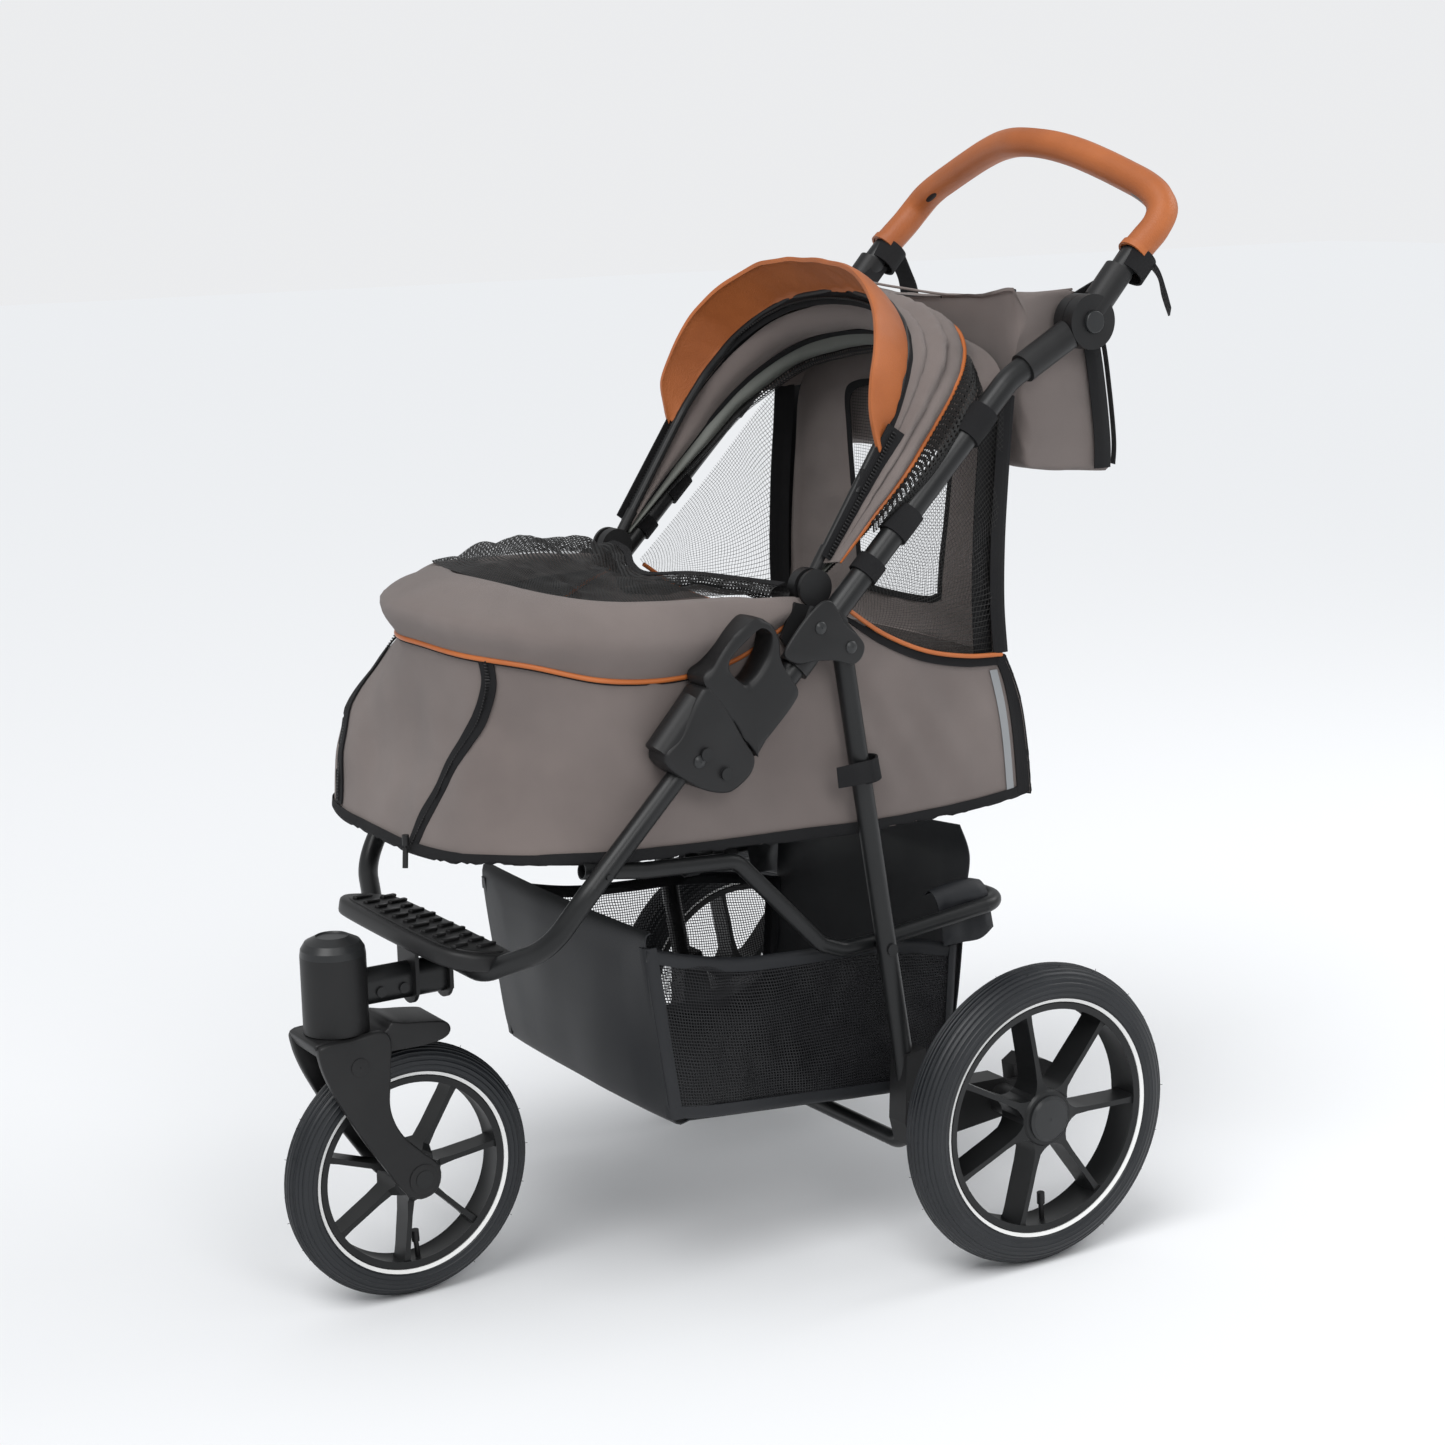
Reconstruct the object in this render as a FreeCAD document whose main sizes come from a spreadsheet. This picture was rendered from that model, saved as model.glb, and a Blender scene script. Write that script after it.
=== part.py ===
import FreeCAD, Part
import math
import os
import Sketcher

# A folding three-wheeled pet stroller. Millimetres, +Z up, the front wheel towards -Y and
# the left-hand side towards +X. The origin is on the ground under the middle of the whole.
# Places along the stroller are given as distances ahead of the rear axle.

V = FreeCAD.Vector
doc = FreeCAD.newDocument("pet_stroller")
sheet = doc.addObject("Spreadsheet::Sheet", "dims")

DIMENSIONS = [
    ("axle_y", 222.2, "rear axle behind the origin"),
    # wheels
    ("rear_r", 152.5, "rear tyre outer radius, a 12 inch tyre"),
    ("front_r", 127.5, "front tyre outer radius, a 10 inch tyre"),
    ("rear_section", 22.0, "rear tyre section radius"),
    ("front_section", 18.5, "front tyre section radius"),
    ("rear_x", 283.0, "rear wheel middle plane from the centre line"),
    ("spoke_count", 7.0, "spokes in each rim"),
    ("rim_lip", 4.0, "height of the rim flange over the tyre seat"),
    ("rim_wall", 3.0, "wall of the rim barrel"),
    ("spoke_wall", 5.0, "thickness of a spoke"),
    ("rear_hub_r", 29.0, "rear hub outer radius"),
    ("front_hub_r", 20.0, "front hub outer radius"),
    ("rear_axle_r", 6.0, "rear axle pin radius"),
    ("front_axle_r", 5.0, "front axle bolt radius"),
    ("running_gap", 0.05, "radial clearance of a pin in its bore"),
    ("side_gap", 1.0, "gap beside a turning part"),
    # caster
    ("swivel_ahead", 618.8, "swivel axis ahead of the rear axle"),
    ("trail", 66.5, "front wheel centre behind the swivel axis"),
    ("housing_r", 31.5, "swivel housing radius"),
    ("housing_low", 281.0, "underside of the swivel housing"),
    ("housing_high", 356.0, "top of the housing wall"),
    ("cap_height", 18.0, "height of the domed cap"),
    ("stem_r", 10.0, "swivel stem radius"),
    ("fork_inner", 27.0, "half the gap between the fork legs"),
    ("fork_wall", 10.0, "thickness of a fork leg"),
    ("neck_z", 318.0, "height of the neck tube"),
    ("neck_h", 36.0, "neck tube height"),
    ("neck_w", 26.0, "neck tube width"),
    # tubes
    ("tube_x", 212.0, "side tubes from the centre line"),
    ("upper_d", 24.0, "upper tube diameter"),
    ("lower_d", 20.0, "lower tube diameter"),
    ("leg_d", 20.0, "rear leg diameter"),
    ("link_d", 16.0, "basket tube diameter"),
    ("beam_d", 16.0, "rear cross beam diameter"),
    ("tube_wall", 1.5, "wall of every tube"),
    ("slope", 45.0, "angle of the side tubes above the ground"),
    ("fold_ahead", 318.0, "fold pivot ahead of the rear axle"),
    ("fold_z", 530.0, "height of the fold pivot"),
    ("tube_offset", 30.0, "lower tube axis from the upper tube axis"),
    ("link_ahead", 441.0, "basket tube pivot ahead of the rear axle"),
    ("leg_ahead", 178.0, "rear leg pivot ahead of the rear axle"),
    ("leg_z", 633.0, "height of the rear leg pivot"),
    ("cross_ahead", 129.0, "basket tube and leg pivot ahead of the rear axle"),
    ("cross_z", 328.0, "height of the basket tube and leg pivot"),
    ("leg_foot_ahead", 98.0, "rear leg foot ahead of the rear axle"),
    ("leg_foot_z", 138.0, "height of the rear leg foot"),
    ("link_x", 188.0, "basket tube from the centre line"),
    ("loop_ahead", 520.0, "front of the lower tube loop ahead of the rear axle"),
    ("loop_z", 348.0, "height of the front of the loop"),
    ("loop_x", 118.0, "half the straight part of the loop"),
    ("pin_r", 3.0, "frame rivet radius"),
    # handle
    ("handle_bend_ahead", -22.0, "upper tube bend ahead of the rear axle"),
    ("hinge_ahead", -115.0, "handle hinge ahead of the rear axle"),
    ("hinge_z", 921.0, "height of the handle hinge"),
    ("hinge_r", 27.0, "handle hinge disc radius"),
    ("handle_d", 24.0, "handle tube diameter"),
    ("grip_d", 30.0, "handle grip diameter"),
    ("grip_x", 213.0, "lower end of the grip from the centre line"),
    ("grip_ahead", -172.5, "lower end of the grip ahead of the rear axle"),
    ("grip_z", 980.0, "height of the lower end of the grip"),
    ("top_z", 1095.0, "height of the middle of the handle"),
    ("button_r", 11.0, "hinge button radius"),
    ("button_travel", 4.0, "travel of a hinge button"),
    # cabin, canopy, basket and bag
    ("cabin_half", 186.0, "cabin half width"),
    ("cabin_front", 556.0, "front of the cabin floor ahead of the rear axle"),
    ("cabin_rear", -62.0, "rear of the cabin floor ahead of the rear axle"),
    ("cabin_low", 456.0, "underside of the cabin floor"),
    ("cabin_rim", 690.0, "height of the cabin's front rim"),
    ("cloth", 3.0, "thickness of the cabin cloth solids"),
    ("board", 6.0, "thickness of the cabin floor board"),
    ("canopy_ahead", 196.0, "canopy pivot ahead of the rear axle"),
    ("canopy_z", 687.0, "height of the canopy pivot"),
    ("canopy_angle", 57.0, "angle of the canopy bow above the ground"),
    ("bow_reach", 318.0, "canopy bow reach from its pivots"),
    ("bow_half", 170.0, "canopy bow half width"),
    ("basket_half", 166.0, "basket half width"),
    ("basket_front", 372.0, "basket front panel ahead of the rear axle"),
    ("basket_rear", -20.0, "basket rear panel ahead of the rear axle"),
    ("basket_low", 186.0, "underside of the basket"),
    ("basket_rim", 352.0, "height of the basket's side rim"),
    ("bag_half", 196.0, "organiser bag half width"),
]
for row, (alias, value, meaning) in enumerate(DIMENSIONS, start=1):
    sheet.set("A%d" % row, meaning)
    sheet.set("B%d" % row, str(value))
    sheet.setAlias("B%d" % row, alias)
doc.recompute()
D = {alias: float(sheet.get(alias)) for alias, _, _ in DIMENSIONS}
NODES = []


def value(formula):
    """A spreadsheet formula worked out as a number."""
    return float(probe.evalExpression(formula))


probe = doc.addObject("App::FeaturePython", "probe")


def node(thing, name):
    """Name a finished sub-part and keep it for the export."""
    thing.Label = name
    NODES.append(thing)
    return thing


def y_of(ahead):
    """Y of a place given as a distance ahead of the rear axle."""
    return D["axle_y"] - ahead


def along(ahead, height, angle, run):
    """(ahead, height) moved by a run up and back along an angle."""
    a = math.radians(angle)
    return ahead - run * math.cos(a), height + run * math.sin(a)


# ---------------------------------------------------------------- sketches and bodies
def origin_plane(body, role):
    for feature in body.Origin.OriginFeatures:
        if feature.Role == role:
            return feature
    raise ValueError(role)


def outline(sketch, corners):
    """A closed outline whose corners are pairs of spreadsheet formulas."""
    points = [V(value(x), value(y), 0) for x, y in corners]
    count = len(points)
    for i in range(count):
        sketch.addGeometry(Part.LineSegment(points[i], points[(i + 1) % count]), False)
    for i in range(count):
        sketch.addConstraint(Sketcher.Constraint("Coincident", i, 2, (i + 1) % count, 1))
    for i, corner in enumerate(corners):
        for kind, formula, number in (
            ("DistanceX", corner[0], points[i].x),
            ("DistanceY", corner[1], points[i].y),
        ):
            sign = -1 if number < 0 else 1
            ends = (i, 1, -1, 1) if number < 0 else (-1, 1, i, 1)
            index = sketch.addConstraint(Sketcher.Constraint(kind, *ends, abs(number)))
            bound = formula if sign > 0 else "-(%s)" % formula
            sketch.setExpression("Constraints[%d]" % index, bound)


def circle(sketch, x, y, radius):
    """A circle whose centre and radius are spreadsheet formulas."""
    cx, cy, r = value(x), value(y), value(radius)
    i = sketch.addGeometry(Part.Circle(V(cx, cy, 0), V(0, 0, 1), r), False)
    for kind, formula, number in (("DistanceX", x, cx), ("DistanceY", y, cy)):
        ends = (i, 3, -1, 1) if number < 0 else (-1, 1, i, 3)
        index = sketch.addConstraint(Sketcher.Constraint(kind, *ends, abs(number)))
        sketch.setExpression("Constraints[%d]" % index, formula if number >= 0 else "-(%s)" % formula)
    index = sketch.addConstraint(Sketcher.Constraint("Radius", i, r))
    sketch.setExpression("Constraints[%d]" % index, radius)


def sketch_in(body, role, name):
    sketch = body.newObject("Sketcher::SketchObject", name)
    sketch.AttachmentSupport = [(origin_plane(body, role), "")]
    sketch.MapMode = "FlatFace"
    return sketch


def turned(name, corners):
    """A body turned about its own Z axis from corners of (radius, height) formulas."""
    body = doc.addObject("PartDesign::Body", name)
    sketch = sketch_in(body, "XZ_Plane", name + "_profile")
    outline(sketch, corners)
    turn = body.newObject("PartDesign::Revolution", name + "_turn")
    turn.Profile = sketch
    turn.ReferenceAxis = (sketch, ["V_Axis"])
    turn.Angle = 360
    return body


def side_plate(name, corners, thickness, holes=()):
    """A plate cut to a side outline of (y, z) formulas, centred on its own YZ plane."""
    body = doc.addObject("PartDesign::Body", name)
    sketch = sketch_in(body, "YZ_Plane", name + "_outline")
    outline(sketch, corners)
    for y, z, radius in holes:
        circle(sketch, y, z, radius)
    pad = body.newObject("PartDesign::Pad", name + "_pad")
    pad.Profile = sketch
    pad.Midplane = True
    pad.setExpression("Length", thickness)
    return body


def place(thing, x="0", y="0", z="0", turn=None):
    """Place a sub-part by formulas, turned first when turn is (axis, degrees)."""
    if turn:
        thing.Placement = FreeCAD.Placement(V(0, 0, 0), FreeCAD.Rotation(V(*turn[0]), turn[1]))
    for letter, formula in zip("xyz", (x, y, z)):
        thing.setExpression("Placement.Base." + letter, formula)
    return thing


def shaped(name, shape):
    """A sub-part whose shape is made with Part's own functions."""
    feature = doc.addObject("Part::Feature", name)
    feature.Shape = shape
    return feature


def mirrored(source, name):
    """The right-hand copy of a left-hand sub-part."""
    copy = doc.addObject("Part::Mirroring", name)
    copy.Source = source
    copy.Normal = V(1, 0, 0)
    copy.Base = V(0, 0, 0)
    return node(copy, name)


# ---------------------------------------------------------------- shapes for tubes and cloth
def rounded_path(points, radius):
    """A wire of straight runs joined by tangent arcs."""
    points = [V(*p) for p in points]
    edges = []
    start = points[0]
    for i in range(1, len(points) - 1):
        back = (points[i - 1] - points[i]).normalize()
        on = (points[i + 1] - points[i]).normalize()
        turn = math.pi - back.getAngle(on)
        run = min((points[i] - points[i - 1]).Length, (points[i + 1] - points[i]).Length)
        reach = min(radius * math.tan(turn / 2), 0.45 * run)
        first = points[i] + back * reach
        last = points[i] + on * reach
        middle_way = (back + on).normalize()
        arc_radius = reach / math.tan(turn / 2)
        middle = points[i] + middle_way * (arc_radius / math.cos(turn / 2) - arc_radius)
        edges.append(Part.LineSegment(start, first).toShape())
        edges.append(Part.Arc(first, middle, last).toShape())
        start = last
    edges.append(Part.LineSegment(start, points[-1]).toShape())
    return Part.Wire(edges)


def swept(path, outer):
    """A round bar along a path."""
    first = path.Edges[0]
    ring = Part.Circle(first.valueAt(first.FirstParameter), first.tangentAt(first.FirstParameter), outer)
    profile = Part.Wire([ring.toShape()])
    return path.makePipeShell([profile], True, False)


def tube(points, radius, diameter, wall):
    """A bent tube: a bar along the path with its bore taken out."""
    path = rounded_path(points, radius)
    return swept(path, diameter / 2).cut(swept(path, diameter / 2 - wall))


def bar_x(x0, x1, y, z, radius):
    """A round bar along X."""
    return Part.makeCylinder(radius, x1 - x0, V(x0, y, z), V(1, 0, 0))


def prism_x(corners, x0, x1):
    """A solid with a side outline of (y, z) corners between two planes of X."""
    wire = Part.makePolygon([V(x0, y, z) for y, z in corners] + [V(x0, *corners[0])])
    return Part.Face(wire).extrude(V(x1 - x0, 0, 0))


def slab(x0, x1, y0, y1, z0, z1):
    return Part.makeBox(x1 - x0, y1 - y0, z1 - z0, V(x0, y0, z0))


# ---------------------------------------------------------------- wheels
def wheel(name, radius, section, hub_r, hub_half, axle_r, x, ahead):
    """Tyre and seven-spoke rim of one wheel, turned so that its axis lies along X."""
    across = ((0, 1, 0), 90)
    where = {"x": x, "y": "dims.axle_y - (%s)" % ahead, "z": radius}
    seat = "(%s - 1.6 * %s)" % (radius, section)
    half = "(0.82 * %s)" % section
    ring = doc.addObject("Part::Torus", name + "_ring")
    ring.setExpression("Radius1", "%s - %s" % (radius, section))
    ring.setExpression("Radius2", section)
    middle = doc.addObject("Part::Cylinder", name + "_tyre_seat")
    middle.setExpression("Radius", seat)
    middle.setExpression("Height", "4 * %s" % section)
    middle.setExpression("Placement.Base.z", "-2 * %s" % section)
    tyre = doc.addObject("Part::Cut", name + "_tyre")
    tyre.Base, tyre.Tool = ring, middle
    node(place(tyre, turn=across, **where), name + "_tyre")

    barrel_in = "%s - dims.rim_wall" % seat
    lip_in = "%s - dims.rim_wall - dims.rim_lip" % seat
    rim = turned(name + "_rim", [
        (barrel_in, "-(%s) + 3" % half), (lip_in, "-(%s)" % half), (seat, "-(%s)" % half),
        (seat, half), (lip_in, half), (barrel_in, "%s - 3" % half),
    ])
    flat = sketch_in(rim, "XY_Plane", name + "_spoke_outline")
    outline(flat, [
        ("%s - 5" % hub_r, "-dims.spoke_wall / 2"), ("%s - 1" % seat, "-dims.spoke_wall / 2"),
        ("%s - 1" % seat, "dims.spoke_wall / 2"), ("%s - 5" % hub_r, "dims.spoke_wall / 2"),
    ])
    spoke = rim.newObject("PartDesign::Pad", name + "_spoke")
    spoke.Profile = flat
    spoke.Midplane = True
    spoke.setExpression("Length", "1.3 * %s" % half)
    doc.recompute()
    spokes = rim.newObject("PartDesign::PolarPattern", name + "_spokes")
    spokes.Originals = [spoke]
    spokes.Axis = (flat, ["N_Axis"])
    spokes.Angle = 360
    spokes.setExpression("Occurrences", "dims.spoke_count")
    rim.Tip = spokes
    centre = sketch_in(rim, "XZ_Plane", name + "_hub_profile")
    bore = "%s + dims.running_gap" % axle_r
    outline(centre, [
        (bore, "-(%s)" % hub_half), ("%s - 4" % hub_r, "-(%s)" % hub_half),
        (hub_r, "-(%s) + 4" % hub_half), (hub_r, "%s - 4" % hub_half),
        ("%s - 4" % hub_r, hub_half), (bore, hub_half),
    ])
    hub = rim.newObject("PartDesign::Revolution", name + "_hub")
    hub.Profile = centre
    hub.ReferenceAxis = (centre, ["V_Axis"])
    hub.Angle = 360
    rim.Tip = hub
    node(place(rim, turn=across, **where), name + "_rim")


REAR_HUB_HALF = "20"
for side, sign in (("left", ""), ("right", "-")):
    wheel("rear_%s" % side, "dims.rear_r", "dims.rear_section", "dims.rear_hub_r",
          REAR_HUB_HALF, "dims.rear_axle_r", sign + "dims.rear_x", "0")
wheel("front", "dims.front_r", "dims.front_section", "dims.front_hub_r",
      "dims.fork_inner - dims.side_gap", "dims.front_axle_r", "0",
      "dims.swivel_ahead - dims.trail")

cap = turned("hub_cap_left", [
    ("0", "0"), ("dims.rear_hub_r - 6", "0"), ("dims.rear_hub_r - 6", "2"),
    ("dims.rear_hub_r - 9", "4"), ("0", "5"),
])
place(cap, "dims.rear_x + 20", "dims.axle_y", "dims.rear_r", ((0, 1, 0), 90))
node(cap, "hub_cap_left")
mirrored(cap, "hub_cap_right")

# ---------------------------------------------------------------- caster
SWIVEL_Y = "dims.axle_y - dims.swivel_ahead"
stem_bore = "dims.stem_r + dims.running_gap"
housing = turned("swivel_housing", [
    (stem_bore, "dims.housing_low"), ("dims.housing_r", "dims.housing_low"),
    ("dims.housing_r", "dims.housing_high"), (stem_bore, "dims.housing_high"),
])
node(place(housing, y=SWIVEL_Y), "swivel_housing")
dome = turned("housing_cap", [
    ("0", "dims.housing_high + 6"), ("dims.stem_r + 4", "dims.housing_high + 6"),
    ("dims.stem_r + 4", "dims.housing_high"), ("dims.housing_r", "dims.housing_high"),
    ("dims.housing_r - 1", "dims.housing_high + 0.35 * dims.cap_height"),
    ("dims.housing_r - 5", "dims.housing_high + 0.7 * dims.cap_height"),
    ("dims.housing_r / 2", "dims.housing_high + dims.cap_height"),
    ("dims.housing_r / 2 - 1", "dims.housing_high + dims.cap_height - 1.5"),
    ("0", "dims.housing_high + dims.cap_height - 1.5"),
])
node(place(dome, y=SWIVEL_Y), "housing_cap")

# the fork: two raked legs, a crown over the tyre, a mudguard and the swivel stem
eye = "dims.trail"
leg_outline = [
    ("-31", "dims.housing_low - 6"), ("-22", "dims.housing_low - dims.side_gap"),
    ("39", "dims.housing_low - dims.side_gap"), ("37", "dims.front_r + 66"),
    ("%s - 14" % eye, "dims.front_r + 42"), ("%s + 11" % eye, "dims.front_r + 14"),
    ("%s + 18" % eye, "dims.front_r"), ("%s + 12" % eye, "dims.front_r - 14"),
    ("%s - 5" % eye, "dims.front_r - 19"), ("%s - 18" % eye, "dims.front_r - 9"),
    ("%s - 47" % eye, "dims.front_r + 31"), ("-8", "dims.front_r + 78"),
    ("-25", "dims.front_r + 113"), ("-32", "dims.front_r + 133"),
]
legs = []
for side, sign in (("left", ""), ("right", "-")):
    leg = side_plate("fork_leg_" + side, leg_outline, "dims.fork_wall",
                     [(eye, "dims.front_r", "dims.front_axle_r")])
    place(leg, sign + "(dims.fork_inner + dims.fork_wall / 2)", SWIVEL_Y)
    legs.append(leg)
crown = side_plate("fork_crown", [
    ("-31", "2 * dims.front_r + 2"), ("33", "2 * dims.front_r + 4"), ("60", "2 * dims.front_r + 4"),
    ("97", "2 * dims.front_r + 5"), ("104", "2 * dims.front_r + 12"), ("96", "2 * dims.front_r + 22"),
    ("60", "2 * dims.front_r + 31"), ("34", "2 * dims.front_r + 34"),
    ("33", "dims.housing_low - dims.side_gap"), ("-31", "dims.housing_low - dims.side_gap"),
], "2 * dims.fork_inner")
place(crown, y=SWIVEL_Y)
stem = doc.addObject("Part::Cylinder", "swivel_stem")
stem.setExpression("Radius", "dims.stem_r")
stem.setExpression("Height", "dims.housing_high - dims.housing_low + 14")
place(stem, y=SWIVEL_Y, z="dims.housing_low - 10")
fork = doc.addObject("Part::MultiFuse", "fork")
fork.Shapes = legs + [crown, stem]
node(fork, "fork")
bolt = turned("front_axle_bolt", [
    ("0", "-(dims.fork_inner + dims.fork_wall + 3)"), ("9", "-(dims.fork_inner + dims.fork_wall + 3)"),
    ("9", "-(dims.fork_inner + dims.fork_wall)"), ("dims.front_axle_r", "-(dims.fork_inner + dims.fork_wall)"),
    ("dims.front_axle_r", "dims.fork_inner + dims.fork_wall"), ("9", "dims.fork_inner + dims.fork_wall"),
    ("9", "dims.fork_inner + dims.fork_wall + 3"), ("0", "dims.fork_inner + dims.fork_wall + 3"),
])
place(bolt, y=SWIVEL_Y + " + dims.trail", z="dims.front_r", turn=((0, 1, 0), 90))
node(bolt, "front_axle_bolt")

# ---------------------------------------------------------------- lower tubes, neck and footrest
upper_axis = (D["fold_ahead"], D["fold_z"])
lower_foot = along(*upper_axis, D["slope"] + 90, D["tube_offset"])


def on_upper(run):
    """A point of the upper tube's axis, a run above the fold pivot."""
    ahead, height = along(*upper_axis, D["slope"], run)
    return y_of(ahead), height


def on_lower(run):
    """A point of the lower tube's axis, a run above the place beside the fold pivot."""
    ahead, height = along(*lower_foot, D["slope"], run)
    return y_of(ahead), height


LOWER_TOP = 42.0
BEND_RUN = -170.0
half_loop = [
    (D["tube_x"], *on_lower(LOWER_TOP)),
    (D["tube_x"], *on_lower(BEND_RUN)),
    (D["tube_x"] - 14, y_of(D["loop_ahead"] - 28), D["loop_z"] + 36),
    (D["loop_x"], y_of(D["loop_ahead"]), D["loop_z"]),
]
loop_points = half_loop + [(-x, y, z) for x, y, z in reversed(half_loop)]
loop_tube = tube(loop_points, 60, D["lower_d"], D["tube_wall"])
link_y, link_z = on_lower(-(D["link_ahead"] - lower_foot[0]) / math.cos(math.radians(D["slope"])))
rivet_y, rivet_z = on_lower(0)
pin_places = [(link_y, link_z), (rivet_y, rivet_z)]
for y, z in pin_places:
    loop_tube = loop_tube.cut(bar_x(-300, 300, y, z, D["pin_r"]))
node(shaped("front_frame_tube", loop_tube), "front_frame_tube")

neck_y0 = y_of(D["swivel_ahead"])
neck_y1 = y_of(D["loop_ahead"] - 18)


def neck_bar(grow):
    """The neck's flat-sided oval as a solid, grown all round."""
    r = D["neck_w"] / 2 + grow
    lift = (D["neck_h"] - D["neck_w"]) / 2
    bar = slab(-r, r, neck_y0, neck_y1, D["neck_z"] - lift, D["neck_z"] + lift)
    for z in (D["neck_z"] - lift, D["neck_z"] + lift):
        bar = bar.fuse(Part.makeCylinder(r, neck_y1 - neck_y0, V(0, neck_y0, z), V(0, 1, 0)))
    return bar.removeSplitter()


housing_hole = Part.makeCylinder(D["housing_r"], 300, V(0, neck_y0, 200), V(0, 0, 1))
neck = neck_bar(0).cut(neck_bar(-3)).cut(housing_hole)
node(shaped("neck_tube", neck), "neck_tube")
screws = []
for back in (42, 66):
    shank = bar_x(-D["neck_w"] / 2 - 2, D["neck_w"] / 2 + 2, neck_y0 + back, D["neck_z"] - 4, 3)
    screws.append(shank.fuse(bar_x(D["neck_w"] / 2, D["neck_w"] / 2 + 2.5, neck_y0 + back, D["neck_z"] - 4, 5)))
for screw in screws:
    neck = neck.cut(screw)
NODES[-1].Shape = neck
node(shaped("neck_screws", Part.makeCompound(screws)), "neck_screws")

bracket = slab(-20, 20, y_of(D["loop_ahead"] + 23), y_of(D["loop_ahead"] - 17),
               D["loop_z"] + D["lower_d"] / 2, D["loop_z"] + D["lower_d"] / 2 + 3)
for ahead in (23, -13):
    y0 = y_of(D["loop_ahead"] + ahead)
    tab = slab(-20, 20, y0, y0 + 4, D["neck_z"] - 12, D["loop_z"] + D["lower_d"] / 2 + 3)
    tab = tab.fuse(Part.makeCylinder(20, 4, V(0, y0, D["neck_z"] - 4), V(0, 1, 0)))
    bracket = bracket.fuse(tab)
bracket = bracket.cut(neck_bar(0))
node(shaped("neck_bracket", bracket), "neck_bracket")

tray = doc.addObject("PartDesign::Body", "footrest_tray")
plan = sketch_in(tray, "XY_Plane", "footrest_plan")
outline(plan, [
    ("-112", "38"), ("112", "38"), ("134", "28"), ("138", "8"), ("133", "-22"), ("112", "-38"),
    ("-112", "-38"), ("-133", "-22"), ("-138", "8"), ("-134", "28"),
])
block = tray.newObject("PartDesign::Pad", "footrest_block")
block.Profile = plan
block.Length = 18
doc.recompute()
hollow_plan = sketch_in(tray, "XY_Plane", "footrest_hollow_plan")
outline(hollow_plan, [
    ("-109", "34"), ("109", "34"), ("130", "25"), ("134", "8"), ("129", "-19"), ("110", "-34"),
    ("-110", "-34"), ("-129", "-19"), ("-134", "8"), ("-130", "25"),
])
hollow = tray.newObject("PartDesign::Pocket", "footrest_hollow")
hollow.Profile = hollow_plan
hollow.Length = 13
hollow.Reversed = True
rib_plan = sketch_in(tray, "XY_Plane", "footrest_rib_plan")
outline(rib_plan, [("-108", "6"), ("-104", "6"), ("-90", "28"), ("-94", "28")])
rib_plan.AttachmentOffset = FreeCAD.Placement(V(0, 0, 17.5), FreeCAD.Rotation())
rib = tray.newObject("PartDesign::Pad", "footrest_rib")
rib.Profile = rib_plan
rib.Length = 2
doc.recompute()
ribs = tray.newObject("PartDesign::LinearPattern", "footrest_ribs")
ribs.Originals = [rib]
ribs.Direction = (rib_plan, ["H_Axis"])
ribs.Length = 182
ribs.Occurrences = 9
tray.Tip = ribs
tray.Placement = FreeCAD.Placement(
    V(0, y_of(D["loop_ahead"] + 4), D["loop_z"] + 7), FreeCAD.Rotation(V(1, 0, 0), 11))
doc.recompute()
loop_bar = swept(rounded_path(loop_points, 60), D["lower_d"] / 2)
rest = tray.Shape.cut(loop_bar).cut(bracket).cut(neck_bar(0))
rest = max(rest.Solids, key=lambda solid: solid.Volume)
node(shaped("footrest", rest), "footrest")

# ---------------------------------------------------------------- latches at the fold pivot
TUBE_IN = "dims.tube_x - dims.upper_d / 2"
CHEEK = 5.0
cheek_gap = D["upper_d"] / 2 + D["side_gap"]
fold_y, fold_up = on_upper(0)


def local(points):
    """Turn (ahead of the rear axle, height) pairs into points of the YZ plane."""
    return [(y_of(ahead), z) for ahead, z in points]


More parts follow.
